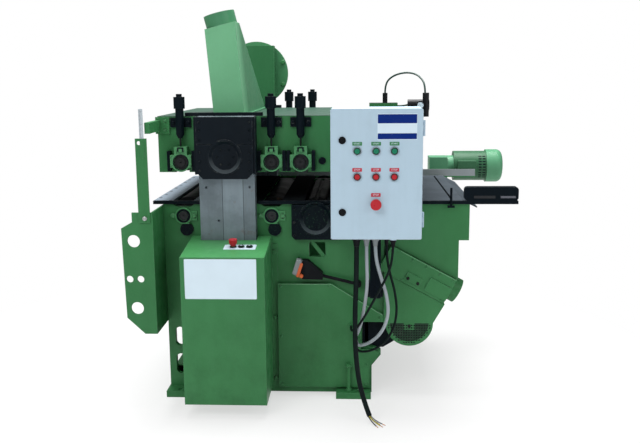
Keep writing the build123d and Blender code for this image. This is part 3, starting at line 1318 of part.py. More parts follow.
CHAIN_GUARD_LEFT = -425.0
CHAIN_GUARD_RIGHT = 735.0
CHAIN_GUARD_GAP = 8.0
CHAIN_GUARD_HALF = 54.0
CHAIN_GUARD_BRACKETS = (-425.0, 390.0, 700.0)
CHAIN_BRACKET = 22.0
REAR_RAIL_TOP = 890.0
REAR_RAIL_T = 4.0
REAR_RAIL_LIP = 25.0
REAR_RAIL_CLEAR = 15.0
REAR_RETURN_DEPTH = 44.0
REAR_RETURN_LENGTH = 27.0
REAR_BAR_RIGHT = 1005.0
REAR_BAR_FORWARD = 25.0
with BuildPart() as rear_guards:
    lift_cover(REAR)
    guard_y = outward(REAR, CHAIN_REACH - CHAIN_GUARD_GAP, CHAIN_REACH + CHAIN_WIDTH + CHAIN_GUARD_GAP)
    guard_z = around(LOWER_ROLLER_Z, CHAIN_GUARD_HALF)
    block((CHAIN_GUARD_LEFT, CHAIN_GUARD_RIGHT), guard_y, guard_z)
    hollow_x = (CHAIN_GUARD_LEFT + SHEET, CHAIN_GUARD_RIGHT)
    hollow_y = (guard_y[0], guard_y[1] - SHEET)
    block(hollow_x, hollow_y, (guard_z[0] + SHEET, guard_z[1] - SHEET), Mode.SUBTRACT)
    for x in CHAIN_GUARD_BRACKETS:
        stand_off = (HALF, guard_y[1])
        block((x, x + CHAIN_BRACKET), stand_off, (guard_z[0] - SHEET, guard_z[0]))
    rail_x = (RAM_SPAN[1] + REAR_RAIL_CLEAR, CHAIN_GUARD_RIGHT)
    rail_face = (guard_y[0], guard_y[0] + REAR_RAIL_T)
    block(rail_x, rail_face, (guard_z[1] - SHEET, REAR_RAIL_TOP))
    rail_lip = (guard_y[0], guard_y[0] + REAR_RAIL_LIP)
    block(rail_x, rail_lip, (REAR_RAIL_TOP - REAR_RAIL_T, REAR_RAIL_TOP))
    return_z = (guard_z[1] - SHEET, REAR_RAIL_TOP)
    return_y = (guard_y[0], guard_y[0] + REAR_RETURN_DEPTH)
    block((rail_x[0], rail_x[0] + REAR_RAIL_T), return_y, return_z)
    screen_x = (rail_x[0] - REAR_RETURN_LENGTH, rail_x[0] + REAR_RAIL_T)
    block(screen_x, (return_y[1] - REAR_RAIL_T, return_y[1]), return_z)
    bar_front = guard_y[0] - REAR_BAR_FORWARD
    bar_left = rail_x[1] - REAR_RAIL_T
    block((bar_left, REAR_BAR_RIGHT), (bar_front, bar_front + REAR_RAIL_T), return_z)
    block((bar_left, rail_x[1]), (bar_front, rail_face[1]), return_z)
save(rear_guards, "rear_guards")


# Lift drive: on each side a shelf, a screw jack and its motor
with BuildPart() as lift_drive:
    for side in (FRONT, REAR):
        shelf_x = around(UPPER_CUTTER_X, 2 * JACK_HALF)
        shelf_y = outward(side, 0, SCREW_REACH + JACK_HALF)
        block(shelf_x, shelf_y, (JACK_LOW - JACK_SHELF_T, JACK_LOW))
        jack_y = around(side * (HALF + SCREW_REACH), JACK_HALF)
        block(around(UPPER_CUTTER_X, JACK_HALF), jack_y, (JACK_LOW, JACK_LOW + JACK_HEIGHT))
        motor_low = JACK_LOW - JACK_SHELF_T - LIFT_MOTOR_LENGTH
        lift_motor_spot = (LIFT_MOTOR_X, side * (HALF + SCREW_REACH))
        rod("Z", lift_motor_spot, (motor_low, JACK_LOW), LIFT_MOTOR_R)
        bore = (JACK_LOW - JACK_SHELF_T, JACK_LOW + JACK_HEIGHT)
        screw_spot = (UPPER_CUTTER_X, side * (HALF + SCREW_REACH))
        rod("Z", screw_spot, bore, SCREW_R + RUNNING_FIT, Mode.SUBTRACT)
save(lift_drive, "lift_drive")


# Scale at the infeed end: holed plate with a side flange, post and steel rule
SCALE_OUTLINE = (
    (-525.0, SCALE_TOP),
    (BASE_LEFT, SCALE_TOP),
    (BASE_LEFT, SCALE_LOW),
    (-491.0, SCALE_LOW),
    (-564.0, 400.0),
    (-571.0, 776.0),
    (-525.0, 802.0),
)
SCALE_HOLES = ((-522.0, 723.0, 26.0), (-519.0, 441.0, 26.0), (-545.0, 564.0, 14.5), (-500.0, 564.0, 14.5))
POST_HOLE = (-481.0, 1122.0)
POST_HOLE_R = 8.0
with BuildPart() as scale_bracket:
    plate_y = outward(FRONT, SCALE_REACH - SCALE_T, SCALE_REACH)
    slab(SCALE_OUTLINE, plate_y)
    for x, z, radius in SCALE_HOLES:
        rod("Y", (x, z), plate_y, radius, Mode.SUBTRACT)
    block((BASE_LEFT - SCALE_T, BASE_LEFT), outward(FRONT, -PLATE, SCALE_REACH), (SCALE_LOW, SCALE_TOP))
    post_y = outward(FRONT, SCALE_REACH, SCALE_REACH + POST_T)
    block((POST_LEFT, POST_LEFT + POST_WIDTH), post_y, (POST_BOTTOM, POST_TOP))
    rod("Y", POST_HOLE, post_y, POST_HOLE_R, Mode.SUBTRACT)
    rule_y = outward(FRONT, SCALE_REACH + POST_T, SCALE_REACH + POST_T + RULE_T)
    block((RULE_LEFT, RULE_LEFT + RULE_WIDTH), rule_y, (RULE_LOW, RULE_TOP))
save(scale_bracket, "scale_bracket")


# Pointer on the head: a bolted plate with an arm that ends beside the rule
POINTER_PLATE = (-447.0, -398.0)
POINTER_Z = (1145.0, 1215.0)
POINTER_T = 10.0
POINTER_GAP = 3.0
ARM_X = (-457.0, -437.0)
ARM_Z = (1158.0, 1202.0)
with BuildPart() as scale_pointer:
    block((ARM_X[0], POINTER_PLATE[1]), outward(FRONT, 0, POINTER_T), POINTER_Z)
    block(ARM_X, outward(FRONT, 0, SCALE_REACH - POINTER_GAP), ARM_Z)
save(scale_pointer, "scale_pointer")


# Control cabinet: sheet body open at the front, hinge knuckles on the right and cable glands below
def hinge_heights():
    """The middle heights of the door's two hinges."""
    return (CABINET_RISE[0] + HINGE_INSET, CABINET_RISE[1] - HINGE_INSET)


def cabinet_box(y):
    """A box of the cabinet's outline with rounded corners."""
    centre = (sum(CABINET_SPAN) / 2, sum(CABINET_RISE) / 2)
    with BuildSketch(Plane.XZ.offset(-y[1])) as face:
        with Locations(centre):
            RectangleRounded(CABINET_WIDTH, CABINET_HEIGHT, CABINET_CORNER)
    extrude(face.sketch, amount=y[1] - y[0], dir=TO_FRONT)


with BuildPart() as cabinet_body:
    cabinet_box((BODY_FRONT, CABINET_BACK))
    inner_x = (CABINET_SPAN[0] + SHEET, CABINET_SPAN[1] - SHEET)
    inner_z = (CABINET_RISE[0] + SHEET, CABINET_RISE[1] - SHEET)
    block(inner_x, (BODY_FRONT, CABINET_BACK - SHEET), inner_z, Mode.SUBTRACT)
    for z in hinge_heights():
        for low in (z - 1.5 * HINGE_LENGTH, z + 0.5 * HINGE_LENGTH):
            rod("Z", (HINGE_X, HINGE_Y), (low, low + HINGE_LENGTH), HINGE_R)
            tab = (CABINET_SPAN[1], HINGE_X)
            block(tab, (BODY_FRONT, BODY_FRONT + 2 * HINGE_R), (low, low + HINGE_LENGTH))
        rod("Z", (HINGE_X, HINGE_Y), around(z, HINGE_LENGTH), HINGE_PIN_R)
    glands = [MAINS_POINTS[0]] + [points[0] for radius, points in CABLE_ROUTES]
    for x, y, z in glands:
        rod("Z", (x, y), (z, CABINET_BOTTOM), GLAND_R)
save(cabinet_body, "cabinet_body")


# Cabinet door: a shallow pan with bezels, button holes, locks and hinge knuckles
DOOR_BUTTONS = [(x, START_Z) for x in BUTTON_COLUMN_X]
DOOR_BUTTONS += [(x, STOP_Z) for x in BUTTON_COLUMN_X]
DOOR_BUTTONS.append((BUTTON_COLUMN_X[1], ESTOP_Z))
KNUCKLE_GAP = 0.5
LOCK_T = 3.0
with BuildPart() as cabinet_door:
    cabinet_box((CABINET_FRONT, DOOR_BACK))
    block(inner_x, (CABINET_FRONT + SHEET, DOOR_BACK), inner_z, Mode.SUBTRACT)
    for x, z in DOOR_BUTTONS:
        rod("Y", (x, z), (CABINET_FRONT - BEZEL_T, CABINET_FRONT), BEZEL_R)
        rod("Y", (x, z), (CABINET_FRONT - BEZEL_T, DOOR_BACK), BUTTON_R + CLEAR, Mode.SUBTRACT)
    for z in LOCK_Z:
        rod("Y", (LOCK_X, z), (CABINET_FRONT - LOCK_T, CABINET_FRONT), LOCK_R)
    for z in hinge_heights():
        knuckle = around(z, HINGE_LENGTH / 2 - KNUCKLE_GAP)
        rod("Z", (HINGE_X, HINGE_Y), knuckle, HINGE_R)
        tab = (CABINET_SPAN[1] - SHEET, HINGE_X)
        block(tab, (HINGE_Y - HINGE_R, DOOR_BACK), knuckle)
        rod("Z", (HINGE_X, HINGE_Y), knuckle, HINGE_PIN_R + RUNNING_FIT, Mode.SUBTRACT)
save(cabinet_door, "cabinet_door")


# Push-buttons of the door: a cap with a collar behind the sheet, and the mushroom stop
def door_button(x, z):
    """A button's cap, stem and inner collar."""
    front = CABINET_FRONT - BUTTON_PROUD
    behind = CABINET_FRONT + SHEET + CLEAR
    rod("Y", (x, z), (front, behind + 2 * SHEET), BUTTON_R)
    rod("Y", (x, z), (behind, behind + 2 * SHEET), BUTTON_COLLAR_R)


for number, x in enumerate(BUTTON_COLUMN_X, start=1):
    for name, z in (("start_button", START_Z), ("stop_button", STOP_Z)):
        with BuildPart() as push_button:
            door_button(x, z)
        save(push_button, f"{name}_{number}")

with BuildPart() as emergency_stop:
    estop_spot = (BUTTON_COLUMN_X[1], ESTOP_Z)
    door_button(*estop_spot)
    head_back = CABINET_FRONT - BEZEL_T - ESTOP_TRAVEL - 2
    rod("Y", estop_spot, (head_back - ESTOP_HEAD_T, head_back), ESTOP_R)
    rod("Y", estop_spot, (head_back, CABINET_FRONT), BUTTON_R)
save(emergency_stop, "emergency_stop")


# Switchgear inside the cabinet: mounting plate, rails, contactors and a transformer
MOUNT_INSET = 20.0
MOUNT_T = 3.0
STAND_OFF = 9.0
RAIL_DEPTH = 8.0
RAIL_HALF = 17.5
GEAR_ROWS = (1130.0, 1010.0)
CONTACTOR = (48.0, 62.0, 74.0)
CONTACTOR_PITCH = 78.0
TRANSFORMER = (110.0, 70.0, 80.0)
TRANSFORMER_Z = 860.0
with BuildPart() as cabinet_internals:
    mount_back = CABINET_BACK - SHEET - STAND_OFF
    mount_front = mount_back - MOUNT_T
    mount_x = (CABINET_SPAN[0] + MOUNT_INSET, CABINET_SPAN[1] - MOUNT_INSET)
    mount_z = (CABINET_RISE[0] + MOUNT_INSET, CABINET_RISE[1] - MOUNT_INSET)
    block(mount_x, (mount_front, mount_back), mount_z)
    middle_x = sum(CABINET_SPAN) / 2
    for way_x in mount_x:
        for way_z in mount_z:
            inner = (way_x + (MOUNT_INSET if way_x < middle_x else -MOUNT_INSET))
            level = way_z + (MOUNT_INSET if way_z == mount_z[0] else -MOUNT_INSET)
            rod("Y", (inner, level), (mount_back, CABINET_BACK - SHEET), STAND_OFF / 2)
    for z in GEAR_ROWS:
        rail_x = (mount_x[0] + MOUNT_INSET, mount_x[1] - MOUNT_INSET)
        rail_front = mount_front - RAIL_DEPTH
        block(rail_x, (rail_front, mount_front), around(z, RAIL_HALF))
        for step in (-1, 0, 1):
            spot = around(middle_x + step * CONTACTOR_PITCH, CONTACTOR[0] / 2)
            block(spot, (rail_front - CONTACTOR[1], rail_front), around(z, CONTACTOR[2] / 2))
    core_y = (mount_front - TRANSFORMER[1], mount_front)
    block(around(middle_x, TRANSFORMER[0] / 2), core_y, around(TRANSFORMER_Z, TRANSFORMER[2] / 2))
save(cabinet_internals, "cabinet_internals")


# Bar that holds the cabinet off the base, with its foot
SUPPORT_FOOT_HEIGHT = 62.0
SUPPORT_FOOT_SIDE = 10.0
with BuildPart() as cabinet_support:
    bar_x = (SUPPORT_X, SUPPORT_X + SUPPORT_WIDTH)
    block(bar_x, (CABINET_BACK, CABINET_BACK + SUPPORT_T), (SUPPORT_LOW, SUPPORT_TOP))
    foot_x = (bar_x[0] - SUPPORT_FOOT_SIDE, bar_x[1] + SUPPORT_FOOT_SIDE)
    block(foot_x, (CABINET_BACK + SUPPORT_T, -HALF), (SUPPORT_LOW, SUPPORT_LOW + SUPPORT_FOOT_HEIGHT))
save(cabinet_support, "cabinet_support")


# Multi-pin connector on the base with its latch and the short lead to its grommet
HOOD_OUTLINE = (
    (136.0, 566.0),
    (156.0, 612.0),
    (178.0, 610.0),
    (240.0, 556.0),
    (240.0, 528.0),
    (152.0, 530.0),
)
CONNECTOR_T = 44.0
CONNECTOR_SOCKET = ((112.0, 556.0), (134.0, 616.0), (152.0, 609.0), (130.0, 549.0))
SOCKET_T = 52.0
GROMMET_R = 14.0
GROMMET_T = 12.0
LEAD_R = 7.0
LEAD_REACH = 22.0
with BuildPart() as side_connector:
    slab(HOOD_OUTLINE, outward(FRONT, 4, CONNECTOR_T))
    slab(CONNECTOR_SOCKET, outward(FRONT, 0, SOCKET_T))
    rod("Y", LEAD_HOLE, outward(FRONT, 0, GROMMET_T + LEAD_REACH), GROMMET_R)
    lead_y = -HALF - LEAD_REACH
    lead_from = Vector(LEAD_HOLE[0], lead_y, LEAD_HOLE[1])
    lead_to = Vector(HOOD_OUTLINE[3][0] - LEAD_R, lead_y, (HOOD_OUTLINE[3][1] + HOOD_OUTLINE[4][1]) / 2)
    with BuildSketch(Plane(origin=lead_from, z_dir=lead_to - lead_from)):
        Circle(LEAD_R)
    extrude(amount=(lead_to - lead_from).length)
save(side_connector, "side_connector")


# Air unit on top of the head: valve block with its cylinder, and the regulator with gauge and knobs
VALVE_CYLINDER_R = 11.0
VALVE_CYLINDER_H = 44.0
REGULATOR_SIZE = (90.0, 60.0, 46.0)
PLINTH_SIZE = (55.0, 60.0, 14.0)
GAUGE_R = 15.0
GAUGE_T = 18.0
KNOB_R = 17.0
KNOB_H = 28.0
BOWL_DROP = 26.0
PLINTH_SEAT = 7.0
FITTING_R = 7.0
with BuildPart() as air_unit:
    valve_x = (VALVE_X, VALVE_X + VALVE_WIDTH)
    valve_y = (VALVE_Y, VALVE_Y + VALVE_DEPTH)
    block(valve_x, valve_y, (HEAD_TOP, HEAD_TOP + VALVE_HEIGHT))
    hose_start = HOSE_ROUTES[0][0]
    cylinder_z = (HEAD_TOP + VALVE_HEIGHT, HEAD_TOP + VALVE_HEIGHT + VALVE_CYLINDER_H)
    rod("Z", hose_start[:2], cylinder_z, VALVE_CYLINDER_R)
    regulator_y = (REGULATOR_Y, REGULATOR_Y + REGULATOR_SIZE[1])
    plinth_z = (HEAD_TOP, HEAD_TOP + PLINTH_SIZE[2])
    body_z = (plinth_z[1], plinth_z[1] + REGULATOR_SIZE[2])
    seat_z = (HEAD_TOP, plinth_z[1] + PLINTH_SEAT)
    block((REGULATOR_X, REGULATOR_X + PLINTH_SIZE[0]), regulator_y, seat_z)
    body_line = (sum(regulator_y) / 2, sum(body_z) / 2)
    rod("X", body_line, (REGULATOR_X, REGULATOR_X + REGULATOR_SIZE[0]), REGULATOR_SIZE[2] / 2)
    gauge_x = REGULATOR_X + PLINTH_SIZE[0] - GAUGE_R / 3
    gauge_z = sum(body_z) / 2
    rod("Y", (gauge_x, gauge_z), (REGULATOR_Y - GAUGE_T, body_line[0]), GAUGE_R)
    knob_x = HOSE_ROUTES[0][-1][0]
    rod("Z", (knob_x, REGULATOR_Y + KNOB_R), (body_line[1], body_z[1] + KNOB_H), KNOB_R * 0.8)
    rod("Z", (knob_x, REGULATOR_Y + KNOB_R), (body_z[0] - BOWL_DROP, body_line[1]), KNOB_R * 0.8)
    outlet = HOSE_ROUTES[0][-1]
    rod("Z", outlet[:2], (body_line[1], outlet[2]), 2 * HOSE_R)
    for points in HOSE_ROUTES[1:]:
        x, y, z = points[-1]
        rod("Y", (x, z), (body_line[0], y), FITTING_R)
save(air_unit, "air_unit")


# Cords
with BuildPart() as mains_cable:
    cord_tube(MAINS_POINTS, MAINS_R)
    sheath_end = Vector(*MAINS_POINTS[-1])
    sheath_run = (sheath_end - Vector(*MAINS_POINTS[-2])).normalized()
    side_run = sheath_run.cross(Vector(0, 0, 1)).normalized()
    rise_run = side_run.cross(sheath_run)
    corners = ((-1, -1), (-1, 1), (1, 1), (1, -1))
    for (across, up), (x, reach) in zip(corners, CORE_ENDS):
        centre = sheath_end + (side_run * across + rise_run * up) * CORE_SPREAD
        start = centre - sheath_run * CORE_SINK
        knee = centre + sheath_run * CORE_LIFT
        cord_tube((tuple(start), tuple(knee), (x, -HALF - reach, CORE_R + CLEAR)), CORE_R)
save(mains_cable, "mains_cable")

with BuildPart() as control_cables:
    for radius, points in CABLE_ROUTES:
        cord_tube(points, radius)
save(control_cables, "control_cables")

with BuildPart() as air_hoses:
    for points in HOSE_ROUTES:
        cord_tube(points, HOSE_R)
save(air_hoses, "air_hoses")
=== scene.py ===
"""Looks of the double-sided planer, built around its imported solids. Z up, origin on the floor."""

from math import atan2, cos, pi, radians, sin

import bpy
from mathutils import Matrix, Vector


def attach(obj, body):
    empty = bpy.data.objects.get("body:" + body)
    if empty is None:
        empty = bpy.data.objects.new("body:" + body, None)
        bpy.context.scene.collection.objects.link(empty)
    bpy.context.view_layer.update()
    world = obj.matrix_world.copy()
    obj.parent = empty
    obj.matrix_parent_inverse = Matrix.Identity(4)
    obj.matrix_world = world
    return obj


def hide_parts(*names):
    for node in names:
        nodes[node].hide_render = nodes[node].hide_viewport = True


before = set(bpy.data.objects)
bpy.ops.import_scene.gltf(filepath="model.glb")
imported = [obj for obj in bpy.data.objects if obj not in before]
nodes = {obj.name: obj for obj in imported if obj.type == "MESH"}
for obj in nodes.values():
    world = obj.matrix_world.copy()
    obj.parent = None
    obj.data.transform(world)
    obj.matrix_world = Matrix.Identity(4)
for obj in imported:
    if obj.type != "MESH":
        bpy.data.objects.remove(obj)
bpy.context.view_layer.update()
scene = bpy.context.scene

# Shapes and their places are in millimetres; materials and the stage are in metres
MM = 0.001
X, Y, Z = range(3)
FRONT_NORMAL = (0, -1, 0)
REAR_NORMAL = (0, 1, 0)
UP = (0, 0, 1)
DOWN = (0, 0, -1)

# Half the base's depth, and the rows and centres that several pieces share, as X and Z
HALF = 425.0
TABLE_Z = 862.0
LOWER_ROLLER_X = (-353.0, 24.0, 520.0)
LOWER_ROLLER_Z = 797.0
SPRUNG_X = (-350.0, 30.0, 152.0)
UPPER_ROLLER_Z = 1028.0
LOWER_CUTTER = (211.0, 787.0)
UPPER_CUTTER = (-155.0, 1055.0)
UPPER_MOTOR = (-155.0, 1394.0)
GUARD_CENTRE = (610.0, 330.0)

# Colours are linear values
GREEN = (0.038, 0.187, 0.063)
GREEN_DARK = (0.024, 0.128, 0.042)
GREEN_LIGHT = (0.085, 0.285, 0.125)
BLACK = (0.0028, 0.0036, 0.0056)
# Black that a zone of ground steel is darkened towards: painted shade on the tables, dark seams on the rams
ZONE_BLACK = (0.0025, 0.0025, 0.0025)
RUST = (0.16, 0.085, 0.045)
BARE_EDGE = (0.16, 0.17, 0.16)
PALE = (0.432, 0.571, 0.678)
PALE_EDGE_HIGHLIGHT = (0.78, 0.83, 0.88)
SCRATCH = (0.55, 0.57, 0.58)
RED = (0.44, 0.016, 0.024)
BUTTON_GREEN = (0.008, 0.19, 0.10)
LABEL_GREEN = (0.035, 0.20, 0.075)
LABEL_RED = (0.50, 0.02, 0.045)
WHITE = (0.64, 0.77, 0.86)
BLUE = (0.001, 0.020, 0.175)
ORANGE = (0.62, 0.115, 0.03)
PURE_WHITE = (1.0, 1.0, 1.0)
FLOOR_GREY = (0.86, 0.86, 0.86)

# Sets for enamel: the main colour, its darker patches and its paler colour, which paints the highlight on the
# edges and also tints the drips and specks
GREEN_SET = (GREEN, GREEN_DARK, GREEN_LIGHT)
GUARD_SET = ((0.030, 0.148, 0.056), (0.022, 0.108, 0.040), GREEN_LIGHT)
MOTOR_SET = ((0.062, 0.225, 0.105), GREEN_DARK, (0.11, 0.31, 0.16))
# Pale green of the painted highlight strips along sheet edges
EDGE_HIGHLIGHT_SET = ((0.16, 0.40, 0.20), GREEN_LIGHT, (0.28, 0.55, 0.34))
# Paler green, painted lighter than the machine's green as light on the roller blocks; the lower housings'
# flanges take it too
LIT_BLOCK_SET = ((0.075, 0.270, 0.110), (0.045, 0.190, 0.070), (0.150, 0.400, 0.200))
# Paler green painted on the lift cover's sloping top as a highlight
COVER_TOP_HIGHLIGHT_SET = ((0.066, 0.285, 0.096), (0.048, 0.215, 0.072), (0.125, 0.390, 0.175))
DUCT_SET = ((0.058, 0.215, 0.110), GREEN, (0.11, 0.32, 0.19))
# Paler green painted on the hood's front wall as a highlight
HOOD_HIGHLIGHT_SET = ((0.150, 0.420, 0.225), (0.105, 0.330, 0.165), (0.23, 0.52, 0.32))
TOP_SET = ((0.030, 0.076, 0.052), (0.018, 0.050, 0.036), (0.055, 0.105, 0.080))
# Dark green painted on the guard's grille as shade
GRILLE_SHADE_SET = ((0.011, 0.040, 0.020), (0.008, 0.030, 0.015), (0.022, 0.066, 0.034))
FEED_CASE_SET = ((0.085, 0.265, 0.145), (0.050, 0.180, 0.085), (0.140, 0.350, 0.210))
FEED_BODY_SET = ((0.030, 0.112, 0.053), (0.020, 0.080, 0.036), (0.060, 0.180, 0.095))
SHADE_SET = ((0.004, 0.006, 0.005), (0.003, 0.004, 0.004), (0.008, 0.010, 0.009))
NAVY_SET = ((0.0022, 0.0058, 0.0100), (0.0012, 0.0032, 0.0055), (0.012, 0.022, 0.032))
# Painted highlight on the ring walls of the bearing covers
RING_HIGHLIGHT_SET = ((0.050, 0.064, 0.072), (0.030, 0.042, 0.050), (0.09, 0.105, 0.115))
DARK_PAINT_SET = ((0.0022, 0.0062, 0.0098), (0.0012, 0.0032, 0.0052), (0.012, 0.021, 0.028))
BLACK_SET = (BLACK, (0.0025, 0.0028, 0.0036), (0.022, 0.024, 0.027))
AIR_SET = (BLACK, (0.0025, 0.0028, 0.0036), (0.04, 0.041, 0.043))
ZINC_SET = ((0.26, 0.29, 0.31), (0.17, 0.19, 0.20), (0.40, 0.43, 0.45))
SWITCH_SET = ((0.045, 0.047, 0.05), BLACK, (0.10, 0.10, 0.11))
PLATE_SET = ((0.42, 0.43, 0.42), (0.30, 0.31, 0.31), (0.55, 0.56, 0.55))

# Sockets of a Mix node that mixes colours
MIX_A = 6
MIX_B = 7
MIX_RESULT = 2
BEVEL_SAMPLES = 4


def scaled(values, factor):
    """A colour or a place times a factor."""
    return tuple(factor * value for value in values)


def put(tree, socket, value):
    """Link a socket, or set a plain value."""
    if isinstance(value, bpy.types.NodeSocket):
        tree.links.new(value, socket)
    elif isinstance(value, tuple) and len(value) == 3 and socket.type == "RGBA":
        socket.default_value = (*value, 1.0)
    else:
        socket.default_value = value


def add_node(tree, kind, *in_order, operation=None, **by_name):
    """Add a shader node, with its sockets given in order, or by name with underscores for spaces."""
    node = tree.nodes.new("ShaderNode" + kind)
    if operation is not None:
        node.operation = operation
    for index, value in enumerate(in_order):
        put(tree, node.inputs[index], value)
    for name, value in by_name.items():
        put(tree, node.inputs[name.replace("_", " ")], value)
    return node


class Graph:
    """A material's node tree with short calls for the nodes that are used here."""

    def __init__(self, name):
        self.material = bpy.data.materials.new(name)
        self.material.use_nodes = True
        self.tree = self.material.node_tree
        self.tree.nodes.clear()
        self.coords = self.add("TexCoord").outputs["Object"]

    def add(self, kind, *in_order, **by_name):
        """Add a node to this tree."""
        return add_node(self.tree, kind, *in_order, **by_name)

    def noise(self, scale, detail=4.0, roughness=0.55, stretch=(1, 1, 1)):
        """Noise from 0 to 1 in metres, stretched along the axes."""
        place = self.add("Mapping", Vector=self.coords, Scale=stretch).outputs[0]
        node = self.add("TexNoise", Vector=place, Scale=scale, Detail=detail, Roughness=roughness)
        return node.outputs["Fac"]

    def span(self, value, low, high, to_low=0.0, to_high=1.0):
        """Map a value's range to another and hold it there."""
        node = self.add("MapRange", Value=value, From_Min=low, From_Max=high, To_Min=to_low, To_Max=to_high)
        return node.outputs["Result"]

    def math(self, operation, a, b=0.0):
        """One step of arithmetic."""
        return self.add("Math", a, b, operation=operation).outputs[0]

    def times(self, a, b):
        """The product of two values."""
        return self.math("MULTIPLY", a, b)

    def mix(self, factor, a, b, amount=None):
        """Mix two colours, by a factor or by an amount of it."""
        if amount is not None:
            factor = self.times(factor, amount)
        node = self.add("Mix", factor)
        node.data_type = "RGBA"
        put(self.tree, node.inputs[MIX_A], a)
        put(self.tree, node.inputs[MIX_B], b)
        return node.outputs[MIX_RESULT]

    def bump(self, height, distance, normal=None):
        """A bump of a height texture, in metres."""
        node = self.add("Bump", Height=height, Strength=1.0, Distance=distance)
        if normal is not None:
            put(self.tree, node.inputs["Normal"], normal)
        return node.outputs["Normal"]

    def bevel(self, radius):
        """The normal with edges rounded."""
        node = self.add("Bevel", Radius=radius)
        node.samples = BEVEL_SAMPLES
        return node.outputs["Normal"]

    def edges(self, radius):
        """A mask of the edges, from the difference between the true and the rounded normal."""
        true_normal = self.add("NewGeometry").outputs["Normal"]
        node = self.add("VectorMath", self.bevel(radius), true_normal, operation="DOT_PRODUCT")
        return self.math("SUBTRACT", 1.0, node.outputs["Value"])

    def axis(self, index):
        """One coordinate, in metres."""
        return self.add("SeparateXYZ", self.coords).outputs[index]

    def below(self, index, limit):
        """1 where a coordinate is less than a limit."""
        return self.math("LESS_THAN", self.axis(index), limit)

    def above(self, index, limit):
        """1 where a coordinate is more than a limit."""
        return self.math("GREATER_THAN", self.axis(index), limit)

    def between(self, index, low, high):
        """1 where a coordinate lies between two values."""
        return self.times(self.above(index, low), self.below(index, high))

    def from_centre(self, x, z):
        """The way from a centre along X and along Z, and the square of the distance."""
        across = self.math("SUBTRACT", self.axis(X), x)
        rise = self.math("SUBTRACT", self.axis(Z), z)
        return across, rise, self.math("ADD", self.times(across, across), self.times(rise, rise))

    def surface(self, colour, roughness, normal, gloss, metallic=0.0):
        """The material with its shader set."""
        shader = self.add("BsdfPrincipled", Base_Color=colour, Roughness=roughness, Normal=normal,
                          Specular_IOR_Level=gloss, Metallic=metallic)
        self.add("OutputMaterial", shader.outputs[0])
        return self.material


def enamel(name, colours, zone=None, rough=0.36, gloss=0.22, ring=None):
    """Thick machine enamel: patchy tone, faint drips, grime low down, a painted highlight that turns the
    edges paler, rubbed edges and a soft peel; with a ring centre, a painted highlight on a bearing cover's
    ring wall.
    """
    g = Graph(name)
    cloud = g.span(g.noise(3.1, 5), 0.34, 0.68)
    drips = g.span(g.noise(3.5, 4, 0.55, (5, 5, 0.9)), 0.40, 0.70)
    speck = g.span(g.noise(160, 2), 0.60, 0.72)
    grime = g.times(g.span(g.noise(9, 6, 0.65), 0.45, 0.75), 0.55)
    low = g.span(g.axis(Z), 0.0, 0.55, 0.75, 0.15)
    edge = g.span(g.edges(0.004), 0.02, 0.22)
    rubbed = g.times(edge, g.span(g.noise(38, 5, 0.7), 0.50, 0.64))

    def tone(main, deep, pale):
        """One set of colours with its patches, drips and a painted highlight on its edges."""
        base = g.mix(cloud, main, deep, 0.42)
        base = g.mix(drips, base, pale, 0.10)
        # Painted highlight: the edges are mixed towards the paler colour
        return g.mix(edge, base, pale, 0.48)

    dark, light = colours[1:]
    base = tone(*colours)
    if zone is not None:
        where, zone_colours = zone
        base = g.mix(where(g), base, tone(*zone_colours))
    # Painted highlight on the lower part of a bearing cover's ring wall
    if ring is not None:
        base = g.mix(ring_wall_highlight(g, *ring), base, tone(*RING_HIGHLIGHT_SET))
    base = g.mix(grime, base, scaled(dark, 0.35), low)
    base = g.mix(speck, base, light, 0.12)
    base = g.mix(rubbed, base, BARE_EDGE, 0.55)
    uneven = g.span(g.noise(24, 4), 0.3, 0.7, rough - 0.07, rough + 0.10)
    roughness = g.math("ADD", uneven, g.times(grime, 0.22))
    fine = g.bump(g.noise(520, 2), 0.00006, g.bevel(0.0025))
    normal = g.bump(g.noise(46, 3), 0.00045, fine)
    return g.surface(base, roughness, normal, gloss)


def ground_steel(name, colour, stretch=(1, 1, 1), rough=0.40, stain=0.4, zone=None, metal=0.85, gloss=0.12,
                 bright=None):
    """Machined steel: fine lines one way, darker passes, stains, rust, a zone darkened towards black, which
    is painted shade on the tables and dark seams on the rams, and a zone painted paler as a sheen.
    """
    g = Graph(name)
    lines = g.noise(34, 6, 0.7, stretch)
    passes = g.span(g.noise(6, 2, 0.5, stretch), 0.35, 0.65)
    blotch = g.span(g.noise(8, 6, 0.62), 0.46, 0.72)
    edge = g.span(g.edges(0.003), 0.02, 0.22)
    rust = g.times(g.span(g.noise(17, 7, 0.7), 0.62, 0.74), stain)
    base = g.mix(passes, colour, scaled(colour, 0.62), 0.45)
    base = g.mix(g.span(lines, 0.42, 0.62, 0.0, 0.35), base, scaled(colour, 1.25))
    base = g.mix(blotch, base, scaled(colour, 0.45), stain)
    base = g.mix(rust, base, RUST)
    base = g.mix(edge, base, scaled(colour, 1.5), 0.45)
    # Painted sheen: the bright zone is made paler
    if bright is not None:
        base = g.mix(bright(g), base, scaled(colour, 2.1), 0.7)
    shine = g.span(rust, 0.0, 0.35, metal, 0.35)
    # A zone darkened towards black: painted shade on the tables, dark seams on the rams
    if zone is not None:
        base = g.mix(zone(g), base, ZONE_BLACK)
        shine = g.times(shine, g.math("SUBTRACT", 1.0, zone(g)))
    uneven = g.span(lines, 0.3, 0.7, rough - 0.06, rough + 0.10)
    roughness = g.math("ADD", uneven, g.times(blotch, 0.12))
    normal = g.bump(lines, 0.00010, g.bevel(0.0015))
    return g.surface(base, roughness, normal, gloss, shine)


